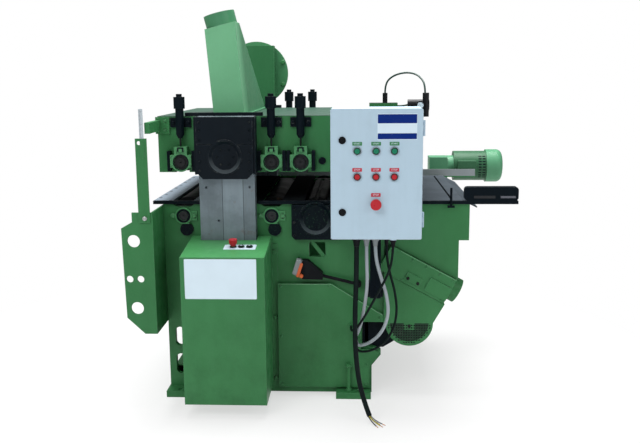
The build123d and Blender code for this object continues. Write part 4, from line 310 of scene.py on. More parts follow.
def plastic(name, colour, rough=0.4, grain=700, wear=0.2, metallic=0.0, gloss=0.3):
    """Moulded plastic or rubber: fine grain, dust in a patchy film and lighter rubbed edges."""
    g = Graph(name)
    dust = g.span(g.noise(22, 6, 0.65), 0.45, 0.75)
    pale = tuple(min(0.9, 0.08 + 0.9 * c) for c in colour)
    edge = g.span(g.edges(0.0015), 0.02, 0.25)
    base = g.mix(dust, colour, pale, wear)
    base = g.mix(edge, base, pale, 0.25)
    roughness = g.span(g.noise(60, 4), 0.3, 0.7, rough - 0.06, rough + 0.12)
    normal = g.bump(g.noise(grain, 2), 0.00004, g.bevel(0.0012))
    return g.surface(base, roughness, normal, gloss, metallic)


def powder_coat(name, colour):
    """Pale powder coat: even, finely pimpled, with faint rain marks, handling dirt and a painted highlight
    that turns the edges paler.
    """
    g = Graph(name)
    marks = g.span(g.noise(7, 5, 0.6, (6, 6, 0.7)), 0.42, 0.70)
    smudge = g.span(g.noise(12, 6, 0.62), 0.52, 0.78)
    edge = g.span(g.edges(0.004), 0.02, 0.22)
    base = g.mix(marks, colour, scaled(colour, 0.88), 0.22)
    base = g.mix(smudge, base, scaled(colour, 0.70), 0.20)
    # Painted highlight: the edges turn paler
    base = g.mix(edge, base, PALE_EDGE_HIGHLIGHT, 0.35)
    roughness = g.span(g.noise(40, 3), 0.3, 0.7, 0.38, 0.52)
    fine = g.bump(g.noise(900, 2), 0.00005, g.bevel(0.004))
    return g.surface(base, roughness, fine, 0.3)


def printed(name, colour, rough=0.35, gloss=0.5):
    """A printed film or enamelled sign: flat colour that has faded in patches, with fine scratches."""
    g = Graph(name)
    fade = g.span(g.noise(11, 5), 0.40, 0.72)
    scratch = g.span(g.noise(60, 6, 0.75, (1, 1, 14)), 0.60, 0.72)
    base = g.mix(fade, colour, scaled(colour, 0.72), 0.14)
    base = g.mix(scratch, base, SCRATCH, 0.10)
    roughness = g.span(g.noise(30, 4), 0.3, 0.7, rough - 0.05, rough + 0.12)
    normal = g.bump(g.noise(140, 3), 0.00004)
    return g.surface(base, roughness, normal, gloss)


# Zones: where the finish changes on one solid, in metres
SHADE_FROM = (-0.30, -0.24)
SHADE_TO = (0.40, 0.50)
DULL_FROM = (0.50, 0.58)
INFEED_END = -0.37
RAM_SEAMS = ((-0.1762, -0.1738), (-0.0892, -0.0868))
RAM_MIDDLE = (-0.175, -0.088)
LOWER_HOUSING_X = (0.105, 0.317)
CAPS_TOP = 0.7630
RING_WALL_R = (0.0532, 0.0668)
RING_LIT = (-0.045, 0.005)
HOOD_WALL_Y = (-0.345, -0.215)
COLLAR_FOOT = (-0.185, 1.586)
COLLAR_LEAN = radians(14)
COLLAR_STEP = 0.0032
GRILLE_R = 0.083
GRILLE_TAB = (0.023, -0.030)
FEED_BODY_X = (0.8995, 1.0710)
VALVE_RIGHT = 0.57
VALVE_TOP = 1.2575


def beyond(index, limit):
    """A zone past a limit along one axis."""
    return lambda g: g.above(index, limit)


def head_shade_and_outfeed_darkening(g):
    """Painted shade that darkens the tables below the head, and darker, duller tables past it."""
    start = g.span(g.axis(X), *SHADE_FROM)
    stop = g.span(g.axis(X), *SHADE_TO)
    middle = g.times(g.math("SUBTRACT", start, stop), 0.96)
    outfeed = g.span(g.axis(X), *DULL_FROM, 0.0, 0.74)
    return g.math("MAXIMUM", middle, outfeed)


def infeed_sheen(g):
    """Painted sheen on the first table plate."""
    return g.below(X, INFEED_END)


def ram_bands(g):
    """Two dark seams down the rams, and the duller faces outside them."""
    seams = g.math("MAXIMUM", g.between(X, *RAM_SEAMS[0]), g.between(X, *RAM_SEAMS[1]))
    outside = g.math("ADD", g.below(X, RAM_MIDDLE[0]), g.above(X, RAM_MIDDLE[1]))
    return g.math("MAXIMUM", g.times(seams, 0.72), g.times(outside, 0.20))


def lower_housings(g):
    """Where the lower housings and the caps are, apart from the roller flanges."""
    return g.math("MAXIMUM", g.between(X, *LOWER_HOUSING_X), g.below(Z, CAPS_TOP))


def ring_wall_highlight(g, x, z):
    """Painted highlight on the lower part of the sloping wall of a round bearing cover."""
    across, rise, square = g.from_centre(x, z)
    outside = g.math("GREATER_THAN", square, RING_WALL_R[0] ** 2)
    inside = g.math("LESS_THAN", square, RING_WALL_R[1] ** 2)
    return g.times(g.times(inside, outside), g.span(rise, *RING_LIT, 1.0, 0.0))


def hood_face_highlight(g):
    """Painted highlight on the hood's front wall, up to the foot of the leaning collar."""
    front_wall = g.span(g.axis(Y), *HOOD_WALL_Y, 1.0, 0.0)
    aside = g.times(g.math("SUBTRACT", g.axis(X), COLLAR_FOOT[0]), -sin(COLLAR_LEAN))
    rise = g.times(g.math("SUBTRACT", g.axis(Z), COLLAR_FOOT[1]), cos(COLLAR_LEAN))
    return g.times(front_wall, g.math("LESS_THAN", g.math("ADD", aside, rise), COLLAR_STEP))


def painted_grille_shade(g):
    """Painted shade on the perforated half disc at the foot of the motor guard, apart from its tab."""
    across, rise, square = g.from_centre(*scaled(GUARD_CENTRE, MM))
    inside = g.math("LESS_THAN", square, GRILLE_R ** 2)
    lower_half = g.math("LESS_THAN", rise, 0.0)
    beside_tab = g.math("GREATER_THAN", g.math("ABSOLUTE", across), GRILLE_TAB[0])
    under_tab = g.math("LESS_THAN", rise, GRILLE_TAB[1])
    return g.times(g.times(inside, lower_half), g.math("MAXIMUM", beside_tab, under_tab))


def feed_body(g):
    """The body of the feed motor, between its neck and its cowl."""
    return g.between(X, *FEED_BODY_X)


def valve_block(g):
    """The green valve block of the air unit."""
    return g.times(g.below(X, VALVE_RIGHT), g.below(Z, VALVE_TOP))


outfeed_flanges = beyond(X, 0.40)
cover_top_highlight = beyond(Z, 0.6755)
head_top = beyond(Z, 1.2165)
table_edge = beyond(Z, 0.8465)
push_rods = beyond(Z, 1.0935)
rear_rail = beyond(Z, 0.8535)
switch_plate = beyond(Y, -0.532)

# Paints
green = enamel("green_enamel", GREEN_SET)
guard_green = enamel("guard_enamel", GUARD_SET, rough=0.40, gloss=0.15)
motor_green = enamel("motor_enamel", MOTOR_SET, rough=0.32)
# Pale green for the painted highlight strips along sheet edges
edge_highlight_green = enamel("edge_highlight_enamel", EDGE_HIGHLIGHT_SET, rough=0.30)
navy = enamel("navy_enamel", NAVY_SET, rough=0.46, gloss=0.07)
black_paint = enamel("black_enamel", DARK_PAINT_SET, rough=0.46, gloss=0.07)
lower_housing_paint = enamel("lower_housing_enamel", LIT_BLOCK_SET, zone=(lower_housings, NAVY_SET), gloss=0.07,
                             ring=scaled(LOWER_CUTTER, MM))
upper_housing_paint = enamel("upper_housing_enamel", NAVY_SET, zone=(outfeed_flanges, GREEN_SET), rough=0.42,
                             gloss=0.13, ring=scaled(UPPER_CUTTER, MM))
feed_motor_paint = enamel("feed_motor_enamel", FEED_CASE_SET, zone=(feed_body, FEED_BODY_SET))
head_paint = enamel("head_enamel", GREEN_SET, zone=(head_top, TOP_SET))
# The grille of the motor guard is painted darker as shade
motor_guard_paint = enamel("motor_guard_enamel", GREEN_SET, zone=(painted_grille_shade, GRILLE_SHADE_SET))
base_paint = enamel("base_enamel", GREEN_SET, zone=(table_edge, SHADE_SET))
# The hood's front wall is painted paler as a highlight
duct_green = enamel("duct_enamel", DUCT_SET, zone=(hood_face_highlight, HOOD_HIGHLIGHT_SET), rough=0.34, gloss=0.3)
# The lift cover's sloping top is painted paler as a highlight
cover_paint = enamel("cover_enamel", GREEN_SET, zone=(cover_top_highlight, COVER_TOP_HIGHLIGHT_SET))
# The roller blocks are painted paler as light
carriage_paint = enamel("carriage_enamel", LIT_BLOCK_SET, zone=(push_rods, BLACK_SET))
rear_guard_paint = enamel("rear_guard_enamel", GREEN_SET, zone=(rear_rail, ZINC_SET))
switchgear_paint = enamel("switchgear", SWITCH_SET, zone=(switch_plate, PLATE_SET))
air_paint = enamel("air_unit_finish", AIR_SET, zone=(valve_block, GREEN_SET))
pale_coat = powder_coat("cabinet_coat", PALE)

# Steel and iron; the stretch runs the grinding lines along Z on the rams, X on the tables, round the rollers
ram_steel = ground_steel("ram_steel", (0.26, 0.32, 0.36), (1, 1, 0.05), rough=0.46, stain=0.55,
                         zone=ram_bands)
roller_steel = ground_steel("roller_steel", (0.014, 0.015, 0.016), (0.05, 1, 0.05), rough=0.44, stain=0.35,
                            metal=0.4, gloss=0.06)
table_steel = ground_steel("table_steel", (0.24, 0.29, 0.34), (0.06, 1, 1), rough=0.42, stain=0.25,
                           zone=head_shade_and_outfeed_darkening, gloss=0.0, bright=infeed_sheen)
bright_steel = ground_steel("bright_steel", (0.50, 0.51, 0.52), rough=0.30, stain=0.1)
worn_iron = ground_steel("worn_iron", (0.034, 0.036, 0.039), rough=0.48, stain=0.25, metal=0.30)
dark_iron = ground_steel("dark_iron", (0.026, 0.027, 0.029), rough=0.50, stain=0.3, metal=0.35)

# Plastics, rubber, print and bare copper
black_plastic = plastic("black_plastic", BLACK, 0.46, 700, 0.06, gloss=0.12)
rubber = plastic("rubber", (0.002, 0.007, 0.007), 0.55, 400, 0.06, gloss=0.12)
grey_sheath = plastic("grey_sheath", (0.30, 0.34, 0.37), 0.48, 300, 0.25)
hose_plastic = plastic("hose_plastic", (0.012, 0.045, 0.034), 0.32, 300, 0.15)
red_plastic = plastic("red_plastic", RED, 0.30, 900, 0.10)
green_plastic = plastic("green_plastic", BUTTON_GREEN, 0.30, 900, 0.10)
orange_plastic = plastic("orange_plastic", ORANGE, 0.38, 600, 0.12)
grey_plastic = plastic("grey_plastic", (0.22, 0.24, 0.25), 0.45, 600, 0.2)
dark_ring = plastic("dark_ring", (0.010, 0.011, 0.013), 0.35, 900, 0.05)
copper = plastic("copper", (0.55, 0.24, 0.11), 0.32, 900, 0.1, metallic=0.9)
rule_steel = printed("rule_steel", (0.46, 0.52, 0.56), 0.40)
# Grey of a painted highlight strip on the side guide
step_highlight_steel = printed("step_highlight_steel", (0.105, 0.110, 0.130), 0.45, gloss=0.2)
white_print = printed("white_print", WHITE)
blue_print = printed("blue_print", BLUE, gloss=0.15)
label_green = printed("label_green", LABEL_GREEN)
label_red = printed("label_red", LABEL_RED)
ink = printed("ink", (0.015, 0.015, 0.016))

# Finishes of the CAD nodes; those that aren't named here are green
NODE_FINISHES = (
    (table_steel, "work_tables"),
    (black_paint, "side_guide_bar pressure_units"),
    (lower_housing_paint, "lower_bearing_housings"),
    (upper_housing_paint, "upper_bearing_housings"),
    (navy, "cabinet_support"),
    (motor_green, "lower_motor upper_motor"),
    (feed_motor_paint, "feed_gearmotor"),
    (rubber, "lower_belt upper_belt mains_cable control_cables"),
    (dark_iron, "feed_chain lift_drive upper_motor_pulley lower_motor_pulley feed_sprocket"),
    (pale_coat, "cabinet_body cabinet_door"),
    (switchgear_paint, "cabinet_internals"),
    (hose_plastic, "air_hoses"),
    (black_plastic, "side_connector lift_up_button lift_down_button"),
    (ram_steel, "lift_rams"),
    (duct_green, "dust_hood"),
    (air_paint, "air_unit"),
    (roller_steel, "upper_cutterblock lower_cutterblock"),
    (red_plastic, "emergency_stop lift_emergency_stop"),
    (rear_guard_paint, "rear_guards"),
    (head_paint, "head_rear_frame head_front_plate"),
    (base_paint, "base_front_plate base_rear_frame"),
    (guard_green, "upper_belt_guard"),
    (motor_guard_paint, "lower_motor_guard"),
    (cover_paint, "lift_drive_cover"),
)
FINISH_OF = {name: finish for finish, names in NODE_FINISHES for name in names.split()}


def node_finish(name):
    """The finish of a CAD node, by its family or else by its own name."""
    if "carriage" in name:
        return carriage_paint
    if "roller" in name:
        return roller_steel
    if name.startswith("start_button"):
        return green_plastic
    if name.startswith("stop_button"):
        return red_plastic
    return FINISH_OF.get(name, green)


for node_name, node in nodes.items():
    node.data.materials.clear()
    node.data.materials.append(node_finish(node_name))


# Mesh helpers: a shape is a list of points and a list of faces, in millimetres, standing on +Z
def lathe(profile, segments=24, hollow=False):
    """A turned shape from radius and height pairs; a hollow one closes on itself as a ring."""
    points = []
    faces = []
    for radius, height in profile:
        for step in range(segments):
            angle = 2 * pi * step / segments
            points.append((radius * cos(angle), radius * sin(angle), height))
    rings = len(profile)
    for ring in range(rings if hollow else rings - 1):
        above = (ring + 1) % rings * segments
        for step in range(segments):
            following = (step + 1) % segments
            a = ring * segments + step
            b = ring * segments + following
            faces.append((a, b, above + following, above + step))
    if not hollow:
        faces.append(tuple(reversed(range(segments))))
        last = (rings - 1) * segments
        faces.append(tuple(range(last, last + segments)))
    return points, faces


def slab_shape(outline, thickness, chamfer=0.0):
    """A flat plate from an outline, with a chamfered top edge towards the outline's middle."""
    count = len(outline)
    middle_x = sum(p[0] for p in outline) / count
    middle_y = sum(p[1] for p in outline) / count
    points = [(x, y, 0.0) for x, y in outline]
    points += [(x, y, thickness - chamfer) for x, y in outline]
    reach = max(abs(x - middle_x) + abs(y - middle_y) for x, y in outline)
    shrink = 1 - chamfer / reach if reach else 1
    for x, y in outline:
        points.append((middle_x + (x - middle_x) * shrink, middle_y + (y - middle_y) * shrink, thickness))
    faces = [tuple(reversed(range(count)))]
    for ring in range(2):
        for step in range(count):
            a = ring * count + step
            b = ring * count + (step + 1) % count
            faces.append((a, b, b + count, a + count))
    faces.append(tuple(range(2 * count, 3 * count)))
    return points, faces


def plate(width, height, corner, thickness, chamfer=0.0, steps=5):
    """A flat plate with rounded corners, centred."""
    outline = []
    for quarter, (sx, sy) in enumerate(((1, 1), (-1, 1), (-1, -1), (1, -1))):
        for step in range(steps + 1):
            angle = pi / 2 * (quarter + step / steps)
            x = sx * (width / 2 - corner) + corner * cos(angle)
            y = sy * (height / 2 - corner) + corner * sin(angle)
            outline.append((x, y))
    return slab_shape(outline, thickness, chamfer)


def hexagon(radius):
    """A hexagon's outline."""
    return on_circle((0, 0), radius, 6)


def gathered(shapes):
    """Several shapes as one."""
    points = []
    faces = []
    for shape_points, shape_faces in shapes:
        start = len(points)
        points += shape_points
        faces += [tuple(start + index for index in face) for face in shape_faces]
    return points, faces


def joined(*shapes):
    """Several shapes as one, each with a height to stand at."""
    raised = []
    for (points, faces), height in shapes:
        raised.append(([(x, y, z + height) for x, y, z in points], faces))
    return gathered(raised)


def facing(place, normal, turn=0.0):
    """A matrix that stands a shape at a place in millimetres, along a normal."""
    up = Vector(normal).normalized()
    side = Vector((1, 0, 0)) if abs(up.x) < 0.9 else Vector((0, 1, 0))
    across = (side - up * side.dot(up)).normalized()
    along = up.cross(across)
    turned = Matrix((across, along, up)).transposed().to_4x4() @ Matrix.Rotation(turn, 4, "Z")
    return Matrix.Translation(Vector(place) * MM) @ turned @ Matrix.Scale(MM, 4)


def ride_and_slot(name, data, body):
    """An object of a mesh or curve that rides on a body."""
    thing = bpy.data.objects.new(name, data)
    scene.collection.objects.link(thing)
    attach(thing, body)
    return thing


SHARP_FROM = radians(35)


def piece(name, body, material, shape, placings):
    """One object made of a shape at each of several places, riding on a body."""
    points, faces = gathered([([matrix @ Vector(p) for p in shape[0]], shape[1]) for matrix in placings])
    mesh = bpy.data.meshes.new(name)
    mesh.from_pydata(points, [], faces)
    mesh.validate()
    mesh.update()
    mesh.shade_smooth()
    mesh.set_sharp_from_angle(angle=SHARP_FROM)
    mesh.materials.append(material)
    return ride_and_slot(name, mesh, body)


def hex_bolt(radius):
    """A hexagon head on a washer."""
    washer = lathe(((1.15 * radius, 0), (1.15 * radius, 0.16 * radius), (1.08 * radius, 0.22 * radius)))
    head = slab_shape(hexagon(0.95 * radius), 0.62 * radius, 0.14 * radius)
    return joined((washer, 0), (head, 0.2 * radius))


def cap_screw(radius):
    """A round head with a sunk socket."""
    profile = ((1, 0), (1, 0.80), (0.90, 0.92), (0.58, 0.92), (0.50, 0.40), (0.01, 0.36))
    return lathe([scaled(point, radius) for point in profile], 18)


# Placings: spots are X and Z, and a reach is the distance in front of the base's front plate
def front(spots, y):
    """Placings on a face that looks to the front."""
    return [facing((x, y, z), FRONT_NORMAL) for x, z in spots]


def rear(spots, y):
    """Placings on a face that looks to the rear."""
    return [facing((x, y, z), REAR_NORMAL) for x, z in spots]


def on_plate(spots, reach):
    """Placings at a distance in front of the base's front plate."""
    return front(spots, -HALF - reach)


def both_sides(spots, reach):
    """Placings at a distance in front of the front plate and behind the rear one."""
    return on_plate(spots, reach) + rear(spots, HALF + reach)


def grid(columns, rows):
    """Spots in columns and rows."""
    return [(column, row) for column in columns for row in rows]


def on_circle(centre, radius, count, start=0.0):
    """Evenly spread points on a circle."""
    angles = [2 * pi * step / count + start for step in range(count)]
    return [(centre[0] + radius * cos(angle), centre[1] + radius * sin(angle)) for angle in angles]


# Screws and bolts
FLANGE_EARS = (-46, 47)
ear_spots = [(x + ear, LOWER_ROLLER_Z) for ear in FLANGE_EARS for x in LOWER_ROLLER_X]
piece("roller_flange_bolts", "base", carriage_paint, hex_bolt(8.5), both_sides(ear_spots, 6))

RING_SCREWS_R = 69.0
DISC_SCREWS_R = 34.0


def housing_screws(name, body, centre, reach, plate_spots, plate_radius, disc_count, disc_start):
    """Screws of a cutter's front housing: on its plate, round its ring and on its sunk disc."""
    ring_spots = on_circle(centre, RING_SCREWS_R, 8, 0.3)
    disc_spots = on_circle(centre, DISC_SCREWS_R, disc_count, disc_start)
    for part, spots, radius, step in (
        ("housing", plate_spots, plate_radius, 0),
        ("ring", ring_spots, 2.6, 3),
        ("disc", disc_spots, 4.5, -9),
    ):
        piece(f"{name}_{part}_screws", body, black_paint, cap_screw(radius), on_plate(spots, reach + step))


lower_plate_spots = grid((121, 301), (716, 772, 831))
upper_plate_spots = grid((-258, -52), (1000, 1036, 1075, 1125, 1165, 1198))
housing_screws("lower", "base", LOWER_CUTTER, 25, lower_plate_spots, 6.0, 3, 0.5)
housing_screws("upper", "head", UPPER_CUTTER, 99, upper_plate_spots, 5.0, 6, 0.0)

UNIT_BOLT_Z = 1192
unit_spots = [(x + way * 32, UNIT_BOLT_Z) for x in SPRUNG_X for way in (-1, 1)]
piece("pressure_unit_bolts", "head", black_paint, hex_bolt(7.0), both_sides(unit_spots, 12.5))
pointer_spots = ((-416, 1162), (-416, 1198), (-447, 1205), (-447, 1155))
piece("pointer_bolts", "head", green, hex_bolt(6.5), on_plate(pointer_spots, 10))

cover_spots = grid((32.5, -330.5), (75, 351, 640))
piece("lift_cover_screws", "base", green, hex_bolt(9.0), both_sides(cover_spots, 3))
PANEL_REACH = 18
panel_spots = ((58, 492), (268, 492), (58, 50), (425, 50), (425, 140), (485, 352), (58, 270))
piece("front_panel_screws", "base", green, hex_bolt(5.5), on_plate(panel_spots, PANEL_REACH))

CHUTE_START = (539, 601)
CHUTE_ANGLE = radians(28.4)
CHUTE_REACH = 20


def on_chute(run, rise):
    """X and Z of a point on the chute's front wall, along and across its slope."""
    x = CHUTE_START[0] + run * cos(CHUTE_ANGLE) + rise * sin(CHUTE_ANGLE)
    z = CHUTE_START[1] - run * sin(CHUTE_ANGLE) + rise * cos(CHUTE_ANGLE)
    return (x, z)


chute_spots = [on_chute(run, 47) for run in (70, 135, 200, 262)] + [on_chute(262, -46), on_chute(70, -50)]
piece("chute_screws", "base", green, hex_bolt(5.0), on_plate(chute_spots, CHUTE_REACH))
door_spots = [on_chute(run, -32) for run in (88, 136)]
piece("chute_door_bolts", "base", dark_iron, cap_screw(6.5), on_plate(door_spots, CHUTE_REACH + 6))

# A thin pale strip along the upper edge of the chute's front wall, a painted highlight
edge_x, edge_z = on_chute(140, 56.5)
chute_edge_place = facing((edge_x, -HALF - CHUTE_REACH, edge_z), FRONT_NORMAL, -CHUTE_ANGLE)
piece("chute_edge_highlight", "base", edge_highlight_green, plate(268, 2.6, 0.8, 0.9, 0.3, steps=1), [chute_edge_place])

# Levelling bolts on the feet, the post's bolt and the four bolts at the sides of the upper motor's flange
FOOT_X = 350
FOOT_REACH = 35
FOOT_TOP = 28
levelling_nut = slab_shape(hexagon(13.5), 12, 1.6)
levelling_bolt = joined((lathe(((7.6, 0), (7.6, 112)), 20), 0), (levelling_nut, 0), (levelling_nut, 110))
foot_sides = grid((-FOOT_X, FOOT_X), (-HALF - FOOT_REACH, HALF + FOOT_REACH))
levelling_places = [facing((x, y, FOOT_TOP), UP) for x, y in foot_sides]
piece("levelling_bolts", "base", green, levelling_bolt, levelling_places)
SCALE_REACH = 198
piece("post_foot_bolt", "base", bright_steel, hex_bolt(8.0), on_plate([(-470, 818)], SCALE_REACH))

FLANGE_Y = (600, 622)
FLANGE_BOLTS_R = 152
SIDE_FROM = 105
flange_spots = on_circle(UPPER_MOTOR, FLANGE_BOLTS_R, 8, pi / 8)
side_spots = [spot for spot in flange_spots if abs(spot[0] - UPPER_MOTOR[0]) > SIDE_FROM]
piece("motor_flange_bolts", "head", green, hex_bolt(11.0),
      front(side_spots, FLANGE_Y[0]) + rear(side_spots, FLANGE_Y[1]))

BLOCK_REACH = 37
for number, x in enumerate(SPRUNG_X, start=1):
    spots = grid((x - 40.5, x + 40.5), [UPPER_ROLLER_Z + rise for rise in (-16, 3, 22)])
    piece(f"block_{number}_screws", f"roller_carriage_{number}", carriage_paint, cap_screw(3.2),
          on_plate(spots, BLOCK_REACH))


# Bearings that show in the blocks and flanges, and the dark ends of the shafts
bearing = lathe((
    (29.4, 0), (29.4, 3.0), (28.4, 3.6), (26.0, 3.6), (25.4, 2.6), (22.4, 2.6), (21.8, 3.4), (20.4, 3.4),
    (20.4, 0),
), 40, hollow=True)
shaft_end = lathe((
    (19.2, 0), (19.2, 0.9), (18.2, 1.5), (9.0, 1.5), (8.2, 0.7), (5.0, 0.6), (4.4, 0.2), (0.2, 0.1),
), 36)
block_cover = lathe((
    (33.6, 0), (33.6, 1.2), (32.8, 2.0), (31.0, 2.0), (30.2, 1.4), (30.2, 0),
), 48, hollow=True)
slot_frame = plate(27, 19, 2, 0.7, 0.1)
slot_tongue = plate(14, 13, 1.5, 1.6, 0.4)
BLOCK_PARTS = (
    ("bearing", dark_iron, bearing, 0, 29, "black_steel"),
    ("cover", black_paint, block_cover, 0, BLOCK_REACH, "black_steel"),
    ("slot", black_paint, slot_frame, 53, BLOCK_REACH, "black_steel"),
    ("tongue", carriage_paint, slot_tongue, 50, BLOCK_REACH, "green_paint"),
)
for number, x in enumerate(SPRUNG_X, start=1):
    for part, material, shape, rise, reach, slot in BLOCK_PARTS:
        piece(f"block_{number}_{part}", f"roller_carriage_{number}", material, shape,
              on_plate([(x, UPPER_ROLLER_Z + rise)], reach))
    piece(f"upper_shaft_end_{number}", f"upper_roller_{number}", dark_iron, shaft_end,
          on_plate([(x, UPPER_ROLLER_Z)], 35))
for number, x in enumerate(LOWER_ROLLER_X, start=1):
    piece(f"lower_shaft_end_{number}", f"lower_roller_{number}", worn_iron, shaft_end,
          on_plate([(x, LOWER_ROLLER_Z)], 10))
seal = lathe(((30.0, 0), (30.0, 0.8), (28.5, 1.2), (21.5, 1.2), (20.4, 0.6), (20.4, 0)), 36, hollow=True)
seal_spots = grid(LOWER_ROLLER_X, [LOWER_ROLLER_Z])
piece("lower_bearing_seals", "base", black_paint, seal, on_plate(seal_spots, 12))
plug = lathe(((15, 0), (15, 6), (13.5, 8), (6, 8.5), (0.3, 8.6)), 30)
piece("side_plug", "head", black_paint, plug, on_plate([(240, 1030)], 0))


# Brace across the window in the base plate, and a thin pale strip along the folded edge of the lower front
# cover, a painted highlight
brace_place = facing((222, 12 - HALF, 646), FRONT_NORMAL, radians(-52))
piece("window_brace", "base", green, plate(92, 17, 2, 8, 1), [brace_place])
COVER_EDGE = ((47.0, 501.5), (276.0, 501.5), (496.0, 365.5))
STRIP_LENGTH = 100
strip_places = []
for (x0, z0), (x1, z1) in zip(COVER_EDGE, COVER_EDGE[1:]):
    run = Vector((x1 - x0, z1 - z0))
    middle = ((x0 + x1) / 2, -HALF - PANEL_REACH, (z0 + z1) / 2)
    strip_place = facing(middle, FRONT_NORMAL, atan2(run.y, run.x))
    strip_places.append(strip_place @ Matrix.Diagonal((run.length / STRIP_LENGTH, 1, 1, 1)))
piece("cover_edge_highlight", "base", edge_highlight_green, plate(STRIP_LENGTH, 3.2, 0.8, 0.9, 0.3, steps=1), strip_places)

# Apron between the base plates, below the infeed table
APRON_WIDTH = 2 * HALF - 46
apron_place = facing((-435, 0, 790), (-1, 0, 0))
piece("infeed_apron", "base", green, plate(APRON_WIDTH, 110, 3, 3, 0.5), [apron_place])

# A dark sheet behind the recess beside the motor guard, which stands for painted shade in the machine's
# inside; its right edge follows the guard's round foot
SHEET_ARC_R = 104.0
SHEET_LEFT, SHEET_FOOT, SHEET_TOP = 398.0, 208.0, 338.0
recess_outline = [(SHEET_LEFT, SHEET_TOP), (SHEET_LEFT, SHEET_FOOT), (500.0, SHEET_FOOT)]
for step in range(11):
    angle = radians(238 - 5.8 * step)
    arc_x = GUARD_CENTRE[0] + SHEET_ARC_R * cos(angle)
    arc_z = GUARD_CENTRE[1] + SHEET_ARC_R * sin(angle)
    recess_outline.append((arc_x, arc_z))
recess_outline.append((498.0, SHEET_TOP))
recess_place = facing((0, 28 - HALF, 0), FRONT_NORMAL)
piece("recess_shade_sheet", "base", black_paint, slab_shape(recess_outline, 3, 0.3), [recess_place])

# Screw in the tab above the guard's holes
piece("guard_tab_screw", "base", dark_iron, cap_screw(6.5), on_plate([(GUARD_CENTRE[0], 317)], 15))

# Dark screws in the holes at the infeed end of the tables
sunk_screw = lathe(((8.0, 0), (8.0, 0.4), (0.5, 0.4)), 20)
sunk_places = [facing((-468, y, TABLE_Z), UP) for y in range(-350, 351, 100)]
piece("table_screws", "base", dark_ring, sunk_screw, sunk_places)

# Air slots round the fan end of the feed motor
FEED_MOTOR_Y = 572.0
FEED_MOTOR_Z = 897.0
FEED_MOTOR_R = 79.0
vent_places = []
for x in (1036, 1057):
    for step in range(-4, 5):
        angle = radians(11 * step)
        normal = Vector((0, -cos(angle), sin(angle)))
        place = Vector((x, FEED_MOTOR_Y, FEED_MOTOR_Z)) + FEED_MOTOR_R * normal
        vent_places.append(facing(place, normal))
piece("feed_motor_vents", "base", black_paint, plate(16, 6.5, 2, 0.8, 0.2), vent_places)

# Paler strips along the side guide's face, in two lengths, a painted highlight for the step in its face
GUIDE_REACH = 16
STEP_HIGHLIGHT_Z = 878
piece("guide_step_highlight", "base", worn_iron, plate(88, 11, 1.5, 0.8, 0.2),
      on_plate([(916, STEP_HIGHLIGHT_Z)], GUIDE_REACH))
piece("guide_step_highlight_end", "base", step_highlight_steel, plate(62, 9, 1.5, 0.8, 0.2),
      on_plate([(1013, STEP_HIGHLIGHT_Z)], GUIDE_REACH))

# A dark half disc behind the grille of the motor guard, which is painted shade that darkens its holes
SHADE_DISC_R = 97
half_disc = [(SHADE_DISC_R * cos(pi * step / 24), -SHADE_DISC_R * sin(pi * step / 24)) for step in range(24, -1, -1)]
piece("shade_behind_grille", "base", black_plastic, slab_shape(half_disc, 1.0), on_plate([GUARD_CENTRE], 11))


# Scale: steel rule with its marks in front of the post
RULE_X = -467
MARKS_LEFT = -474.5
MARKS_FOOT = 1146
MARK_PITCH = 5
MARK_LENGTH = 10
rule_plate = plate(17, 116, 2, 0.8, 0.1)
piece("rule_face", "base", rule_steel, rule_plate, on_plate([(RULE_X, 1198.5)], SCALE_REACH))
mark_places = []
for step in range(22):
    length = 12.5 if step % 10 == 0 else (9.5 if step % 5 == 0 else 6.5)
    mark_spot = (MARKS_LEFT + length / 2, MARKS_FOOT + step * MARK_PITCH)
    mark_place = on_plate([mark_spot], SCALE_REACH + 0.85)[0]
    mark_places.append(mark_place @ Matrix.Diagonal((length / MARK_LENGTH, 1, 1, 1)))
piece("rule_marks", "base", ink, plate(MARK_LENGTH, 0.9, 0.2, 0.12, steps=1), mark_places)


# Plain signs on the lift cover and the cabinet door
DOOR_FACE = -708.0
SIGN_X = 538
SIGN_FILM = 0.8
piece("cover_sign", "base", white_print, plate(288, 163, 4, 1.2, 0.3), on_plate([(-156, 588)], 275))
piece("door_sign", "door", white_print, plate(150, 99, 2, SIGN_FILM, 0.2),
      front([(SIGN_X, 1188)], DOOR_FACE))
for name, height, z in (("door_sign_bands", 34, 1218), ("door_sign_foot", 22, 1152)):
    piece(name, "door", blue_print, plate(148, height, 2, 0.3, 0.1),
          front([(SIGN_X, z)], DOOR_FACE - SIGN_FILM))


def words(name, text, size, spot):
    """Flat white letters on a door label, facing the front."""
    curve = bpy.data.curves.new(name + "_font", "FONT")
    curve.body = text
    curve.size = size
    curve.align_x = "CENTER"
    curve.align_y = "CENTER"
    curve.extrude = 0.00012
    curve.resolution_u = 3
    source = bpy.data.objects.new(name + "_source", curve)
    scene.collection.objects.link(source)
    bpy.context.view_layer.update()
    mesh = bpy.data.meshes.new_from_object(source.evaluated_get(bpy.context.evaluated_depsgraph_get()))
    bpy.data.objects.remove(source)
    place = Vector((spot[0], DOOR_FACE - 0.95, spot[1])) * MM
    mesh.transform(Matrix.Translation(place) @ Matrix.Rotation(pi / 2, 4, "X"))
    mesh.materials.clear()
    mesh.materials.append(white_print)
    ride_and_slot(name, mesh, "door")


